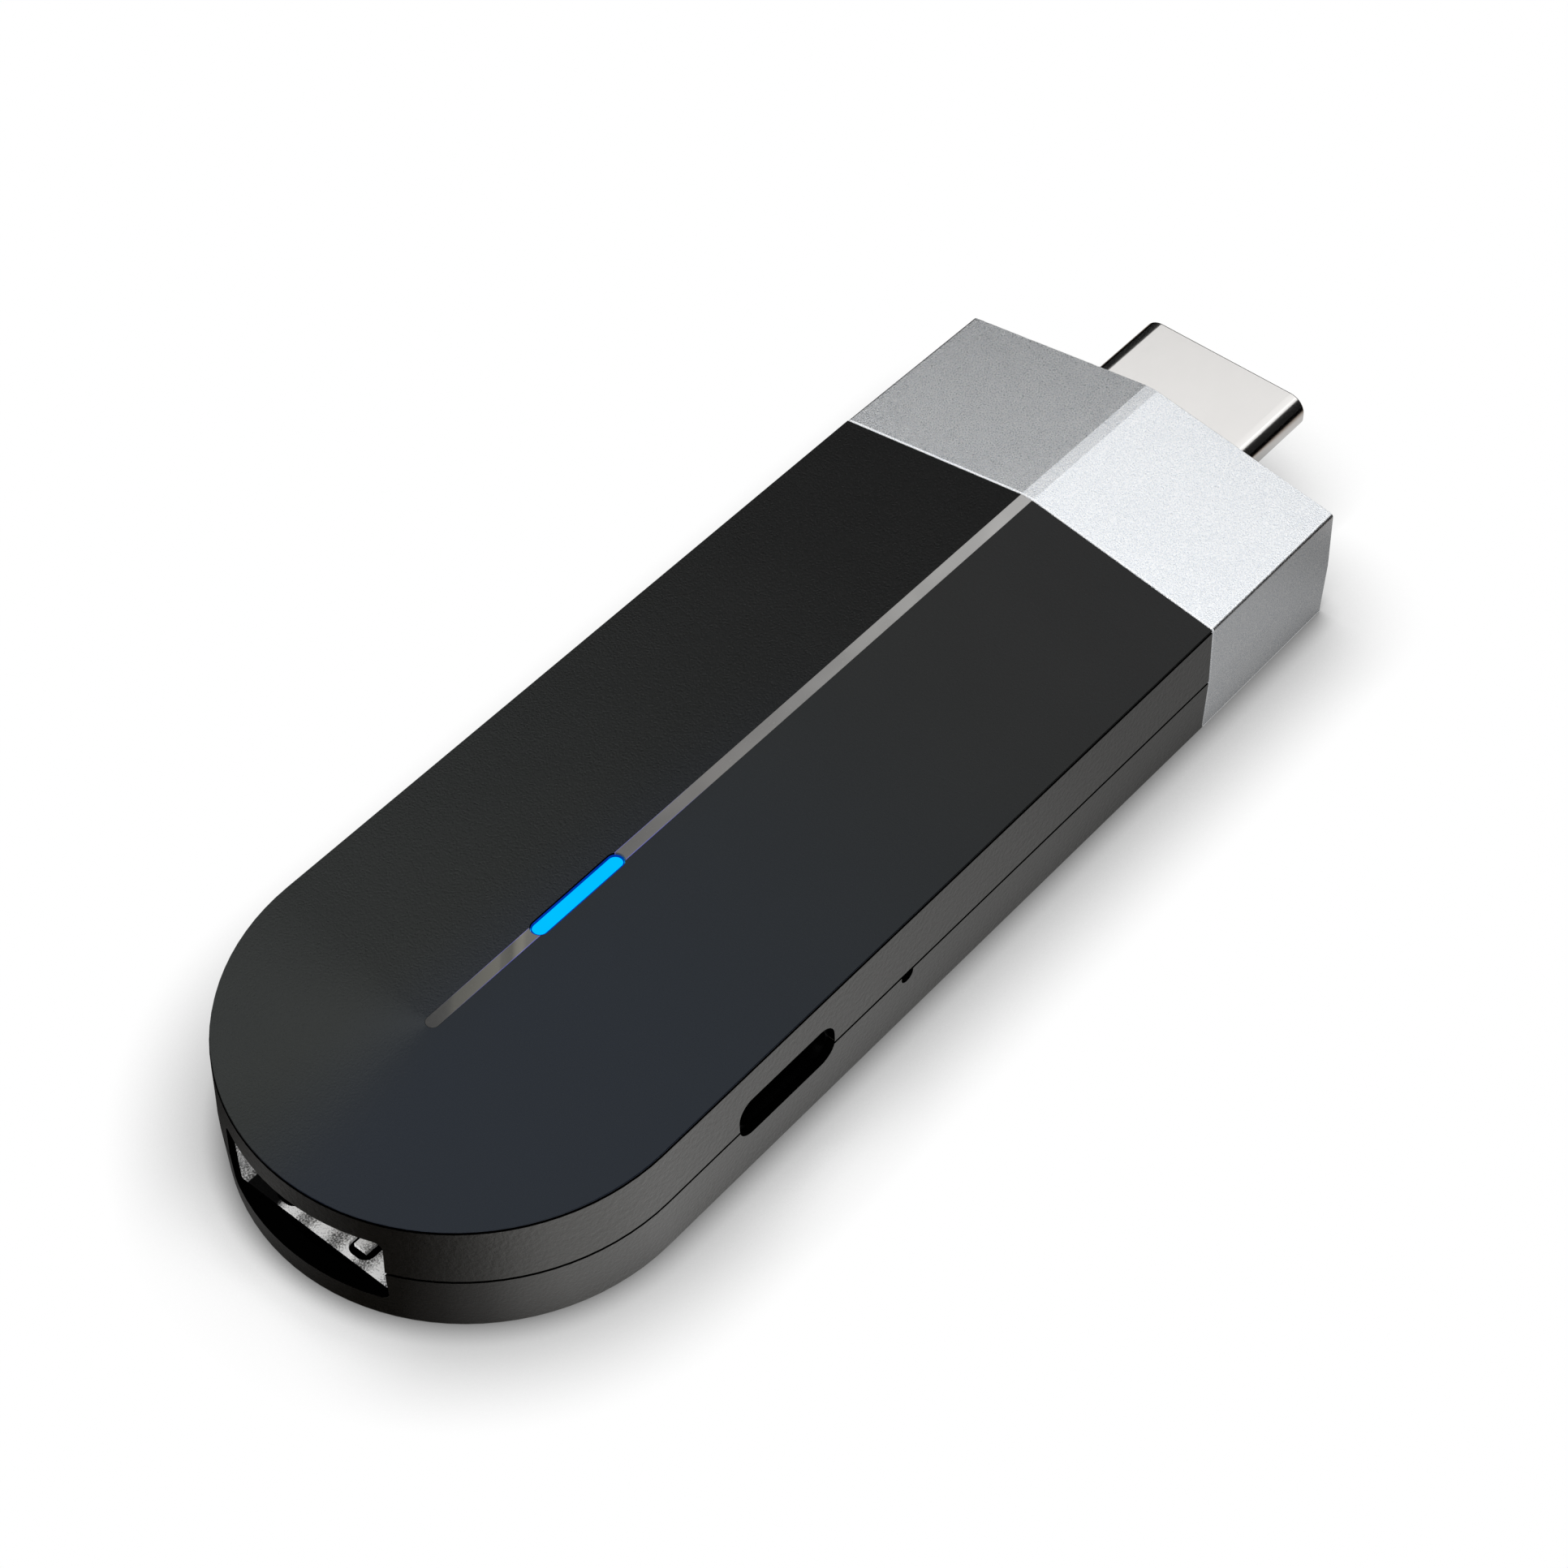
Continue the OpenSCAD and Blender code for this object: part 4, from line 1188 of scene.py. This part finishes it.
@dataclass
class Sockets:
    """The flat socket in the round end and the oval one in the long side."""

    bend: float = 30.0
    window_x: float = -45.13
    window_reach: float = 0.2
    upright: float = 0.9
    least: float = 0.1
    corner: float = 0.75
    corner_steps: int = 6
    rim: float = -45.4
    rim_facing: float = -0.7

    def build(self, palette: Palette) -> None:
        """Builds both shells and paints their tongues and contacts.

        Args:
            palette: The finishes.
        """
        data = fair_copy("data_socket_shell", "data_shell")
        self.round_windows(data)
        smooth_below(data, self.bend)
        dress(data, palette.socket.make(), Slot.CONNECTOR, STICK, "data_socket_shell")
        # The data shell's front rim takes the near-black material as painted shade.
        centres, normals = face_places(data)
        finish_faces(data, palette.inside.make(),
                     (normals[:, 0] < self.rim_facing) & (centres[:, 0] < self.rim))
        # The power socket's near-black shell is painted shade.
        power = fair_copy("power_socket_shell", "power_shell")
        smooth_below(power, self.bend)
        dress(power, palette.port.make(), Slot.CONNECTOR, STICK, "power_socket_shell")
        resin, gold = palette.resin.make(), palette.gold.make()
        for node in ("data_socket_tongue", "power_socket_tongue"):
            paint(node, resin)
        for node in ("data_socket_contacts", "power_socket_contacts"):
            paint(node, gold)

    def round_windows(self, piece: bpy.types.Object) -> None:
        """Rounds the front corners of the windows that the sprung fingers stand in.

        Args:
            piece: The data socket's shell.
        """
        work = bmesh.new()
        work.from_mesh(piece.data)
        corners = [e for e in work.edges
                   if all(abs(v.co.x / MM - self.window_x) < self.window_reach for v in e.verts)
                   and abs(e.verts[0].co.z - e.verts[1].co.z) > self.upright * e.calc_length()
                   and e.calc_length() > self.least * MM]
        break_edges(piece, corners, work, self.corner, self.corner_steps)


@dataclass
class Electronics:
    """The board and everything soldered or screwed to it."""

    def build(self, palette: Palette) -> None:
        """Paints the inner nodes.

        Args:
            palette: The finishes.
        """
        finishes = {
            palette.board: ("main_board",),
            palette.screw: ("board_screws",),
            palette.chip: ("processor", "memory_chips", "storage_chip", "power_chip"),
            palette.pad: ("thermal_pad",),
            palette.spreader: ("heat_spreader",),
            palette.ferrite: ("inductors",),
            palette.tan: ("capacitors",),
            palette.tin: ("crystal", "radio_shield", "reset_cover"),
            palette.white: ("chip_antenna",),
            palette.lamp_body: ("status_leds",),
            palette.resin: ("light_shield", "reset_housing"),
            palette.gold: ("reset_dome",),
            palette.button: ("reset_plunger",),
        }
        for finish, nodes in finishes.items():
            material = finish.make()
            for node in nodes:
                paint(node, material)


# The studio


@dataclass(frozen=True)
class SoftBox:
    """A square lamp that faces the stick from a direction, given as azimuth from +X and elevation.

    Its distance, its size and the point that it aims at are in metres.
    """

    name: str
    azimuth: float
    elevation: float
    size: float
    radiance: float
    tint: Colour = WHITE
    aim: Point = (0.0, 0.0, 0.0)
    distance: float = 1.1

    def build(self) -> None:
        """Makes the lamp. Its power is radiance times pi times its area."""
        data = bpy.data.lights.new(self.name, "AREA")
        data.shape = "SQUARE"
        data.size = self.size
        data.energy = self.radiance * math.pi * self.size ** 2
        data.color = self.tint
        lamp = bpy.data.objects.new(self.name, data)
        bpy.context.scene.collection.objects.link(lamp)
        a, e = math.radians(self.azimuth), math.radians(self.elevation)
        away = Vector((math.cos(a) * math.cos(e), math.sin(a) * math.cos(e), math.sin(e)))
        lamp.location = Vector(self.aim) + away * self.distance
        lamp.rotation_mode = "QUATERNION"
        lamp.rotation_quaternion = away.to_track_quat("Z", "Y")
        lamp.visible_camera = False


@dataclass
class Studio:
    """Floor, card, flags, lamps, world and camera.

    The card's sizes are millimetres, and those of the floor, the flags and the camera are metres.
    Each shade is a reach in metres and the power that its openness is raised to.
    """

    floor_radius: float = 3.0
    floor_points: int = 96
    paper: Colour = (0.84, 0.84, 0.84)
    paper_dark: Colour = (0.8, 0.8, 0.8)
    fibre_mm: float = 1.5
    near_shade: Span = (0.0017, 0.8)
    wide_shade: Span = (0.0078, 1.28)
    mirror_power: float = 0.35
    shade_samples: int = 16
    flag_radius: float = 1.2
    flag_top: float = 38.7
    flag_foot: float = 0.02
    flag_turn: Span = (-100.0, 100.0)
    flag_points: int = 49
    flag_rows: int = 3
    flag_cloth: Moulded = Moulded(
        "flag_cloth", (0.02, 0.02, 0.02), (0.012, 0.012, 0.012), roughness=0.9, gloss=0.0,
        grain_mm=2.0, depth_mm=0.3, mottle_mm=60.0)
    lens: float = 83.94
    sensor: float = 36.0
    clip: Span = (0.01, 20.0)
    eye: Point = (-0.12142, -0.10179, 0.18664)
    right: Point = (0.64524, -0.76397, -0.0034)
    up: Point = (0.57944, 0.48648, 0.6539)
    back: Point = (-0.4979, -0.42389, 0.75657)
    boxes: tuple[SoftBox, ...] = (
        SoftBox("back_box", 79.2, 42.7, size=0.68, radiance=1.22),
        SoftBox("top_box", 13.0, 78.6, size=0.96, radiance=0.41, tint=(0.85, 0.93, 1.0)),
        SoftBox("front_box", 212.0, 38.0, size=0.2, radiance=30.0, aim=(-0.045, 0.0, 0.003)),
        SoftBox("edge_box", -29.0, 53.5, size=0.26, radiance=1.42),
    )
    card_middle: float = -31.44
    card_reach: float = 2900.0
    card_height: float = 0.05
    card_wall: float = 60.0
    card_deep_x: Span = (46.0, 54.0)
    card_deep_y: Span = (9.0, 24.0)
    card_brown: Colour = (1.0, 0.78, 0.62)
    card_side: tuple[Span, ...] = (
        (-31.4, 0.93), (-22.0, 0.76), (-12.0, 0.68), (-2.0, 0.58), (8.0, 0.5), (18.0, 0.4),
        (28.0, 0.37), (36.0, 0.34), (44.0, 0.2), (50.0, 0.58), (66.0, 0.8), (85.0, 1.0))
    card_nose: tuple[Span, ...] = (
        (90.0, 0.93), (110.0, 0.12), (118.0, 0.04), (126.0, 0.02), (135.0, 0.045), (142.0, 0.07),
        (154.0, 0.15), (162.0, 0.16), (171.0, 0.1), (185.0, 0.035), (195.0, 0.0), (205.0, 0.01),
        (215.0, 0.1), (225.0, 0.29), (235.0, 0.62), (245.0, 0.84), (270.0, 0.93))

    def build(self) -> None:
        """Builds the studio."""
        self.make_world()
        self.make_floor()
        self.make_card()
        self.make_flags()
        for box in self.boxes:
            box.build()
        self.make_camera()
        bpy.context.scene.view_settings.view_transform = "Standard"

    def make_world(self) -> None:
        """A plain white world of strength 1."""
        world = bpy.data.worlds.new("studio_world")
        world.use_nodes = True
        world.node_tree.nodes["Background"].inputs[0].default_value = (*WHITE, 1.0)
        world.node_tree.nodes["Background"].inputs[1].default_value = 1.0
        bpy.context.scene.world = world

    def make_floor(self) -> None:
        """A pale disc that shows as white and keeps the soft contact shadow."""
        turn = np.linspace(0, 2 * math.pi, self.floor_points, endpoint=False)
        disc = np.column_stack([np.cos(turn), np.sin(turn), np.zeros_like(turn)]) * self.floor_radius
        floor = new_piece("studio_floor", disc / MM, [list(range(len(disc)))])
        floor.data.materials.append(self.floor_finish())

    def floor_finish(self) -> bpy.types.Material:
        """White light less the contact shadow where the floor is seen, and pale paper elsewhere.

        Returns:
            The floor's material.
        """
        sheet = NodeSheet("floor_paper")
        path = sheet.add("ShaderNodeLightPath")
        depth = sheet.math("MULTIPLY", *(
            self.shade(sheet, reach, sheet.span(path.outputs["Is Camera Ray"], RISE,
                                                (self.mirror_power, power)))
            for reach, power in (self.near_shade, self.wide_shade)))
        glow = sheet.add("ShaderNodeEmission")
        sheet.join(depth, glow.inputs["Strength"])
        paper = sheet.add("ShaderNodeBsdfDiffuse")
        fibre = sheet.span(sheet.noise(self.fibre_mm, detail=3.0), NOISE_RANGE)
        sheet.join(sheet.blend(fibre, self.paper_dark, self.paper), paper.inputs["Color"])
        seen = sheet.math("MAXIMUM", path.outputs["Is Camera Ray"], path.outputs["Is Glossy Ray"])
        seen = sheet.math("MAXIMUM", seen, path.outputs["Is Transmission Ray"])
        mix = sheet.add("ShaderNodeMixShader")
        for source, target in zip((seen, paper.outputs[0], glow.outputs[0]), mix.inputs):
            sheet.join(source, target)
        sheet.join(mix.outputs[0], sheet.output.inputs["Surface"])
        sheet.material.cycles.emission_sampling = "NONE"
        return sheet.material

    def shade(self, sheet: NodeSheet, reach: float, power: float | Socket) -> Socket:
        """How open the floor is near a point.

        Args:
            sheet: The material's node sheet.
            reach: How far the stick is looked for, in metres.
            power: What the openness is raised to.

        Returns:
            1 in the open and less beside the stick.
        """
        node = sheet.add("ShaderNodeAmbientOcclusion", samples=self.shade_samples)
        node.inputs["Distance"].default_value = reach
        return sheet.math("POWER", node.outputs["AO"], power)

    def make_card(self) -> None:
        """A graded card on the floor that only mirrored rays meet, so that the sides have depth.

        It is a square with a low wall along each edge, which closes the gap under the flags.
        """
        far = self.card_reach
        corners = [(x, y, z) for z in (self.card_height, self.card_wall)
                   for x, y in ((-far, -far), (far, -far), (far, far), (-far, far))]
        walls = [[k, (k + 1) % 4, 4 + (k + 1) % 4, 4 + k] for k in range(4)]
        card = new_piece("graded_card", np.array(corners), [[0, 1, 2, 3], *walls])
        card.data.materials.append(self.card_finish())
        card.visible_camera = card.visible_diffuse = card.visible_shadow = False

    def card_finish(self) -> bpy.types.Material:
        """Light whose brightness follows X beside the straight sides and the angle round the nose.

        It is black beyond the plug, which darkens the plug's and the cap's edges.

        Returns:
            The card's material.
        """
        sheet = NodeSheet("card_gradient")
        x, y = sheet.axis(Along.X), sheet.axis(Along.Y)
        side = self.brightness(sheet, x, self.card_side, MM)
        over = sheet.math("SUBTRACT", x, self.card_middle * MM)
        angle = sheet.math("ARCTAN2", sheet.math("MULTIPLY", y, -1.0),
                           sheet.math("MULTIPLY", over, -1.0))
        nose = self.brightness(sheet, sheet.math("ADD", angle, math.pi), self.card_nose,
                               math.radians(1.0))
        front = sheet.math("LESS_THAN", over)
        share = sheet.math("ADD", sheet.math("MULTIPLY", front, nose),
                           sheet.math("MULTIPLY", sheet.rest(front), side))
        aside = sheet.math("ABSOLUTE", y)
        deep = sheet.math("MULTIPLY", sheet.reach(x, self.card_deep_x, smooth=False),
                          sheet.reach(aside, self.card_deep_y, smooth=False))
        bright = sheet.math("MULTIPLY", share, sheet.rest(deep))
        for reach, _ in (self.near_shade, self.wide_shade):
            bright = sheet.math("MULTIPLY", bright, self.shade(sheet, reach, self.mirror_power))
        glow = sheet.add("ShaderNodeEmission")
        sheet.join(sheet.blend(deep, WHITE, self.card_brown), glow.inputs["Color"])
        sheet.join(bright, glow.inputs["Strength"])
        sheet.join(glow.outputs[0], sheet.output.inputs["Surface"])
        sheet.material.cycles.emission_sampling = "NONE"
        return sheet.material

    def brightness(self, sheet: NodeSheet, place: Socket, table: Sequence[Span], unit: float) -> Socket:
        """Reads the card's brightness from a table.

        Args:
            sheet: The card's node sheet.
            place: Where a point is, in metres or radians.
            table: Places, and the share of white at each.
            unit: The table's unit of place, in metres or radians.

        Returns:
            The share of white.
        """
        low, high = table[0][0], table[-1][0]
        along = sheet.span(place, (low * unit, high * unit))
        return sheet.ramp(along, [((p - low) / (high - low), (v, v, v)) for p, v in table])

    def make_flags(self) -> None:
        """Dark cloth flags round the far side, which the polished edges mirror.

        A ring wall on the grid (a, z): (radius cos a, radius sin a, z), from just above the floor up
        to the height that the flags' top elevation gives.
        """
        a = np.radians(np.linspace(*self.flag_turn, self.flag_points))[None, :]
        height = self.flag_radius * math.tan(math.radians(self.flag_top))
        z = np.linspace(self.flag_foot, height, self.flag_rows)[:, None]
        wall = np.broadcast_arrays(self.flag_radius * np.cos(a), self.flag_radius * np.sin(a), z)
        flags = new_piece("studio_flags", np.stack(wall, -1) / MM,
                          wrap_grid(self.flag_rows, self.flag_points, False, False))
        flags.visible_camera = False
        flags.data.materials.append(self.flag_cloth.make())

    def make_camera(self) -> None:
        """The photograph's camera, turned by its three axes."""
        data = bpy.data.cameras.new("photo_camera")
        data.lens = self.lens
        data.sensor_width = self.sensor
        data.clip_start, data.clip_end = self.clip
        camera = bpy.data.objects.new("photo_camera", data)
        bpy.context.scene.collection.objects.link(camera)
        turn = Matrix((self.right, self.up, self.back)).transposed()
        camera.rotation_mode = "QUATERNION"
        camera.rotation_quaternion = turn.to_quaternion()
        camera.location = self.eye
        bpy.context.scene.camera = camera


def main() -> None:
    """Builds the stick's pieces and the studio."""
    logging.basicConfig(level=logging.INFO, format="%(name)s: %(message)s")
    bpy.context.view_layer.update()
    palette = Palette()
    for part in (Case(), Cap(), Ridge(), VideoPlug(), Sockets(), Electronics()):
        log.info("building %s", type(part).__name__)
        part.build(palette)
    log.info("building the studio")
    Studio().build()
    bpy.context.view_layer.update()


if __name__ == "__main__":
    main()
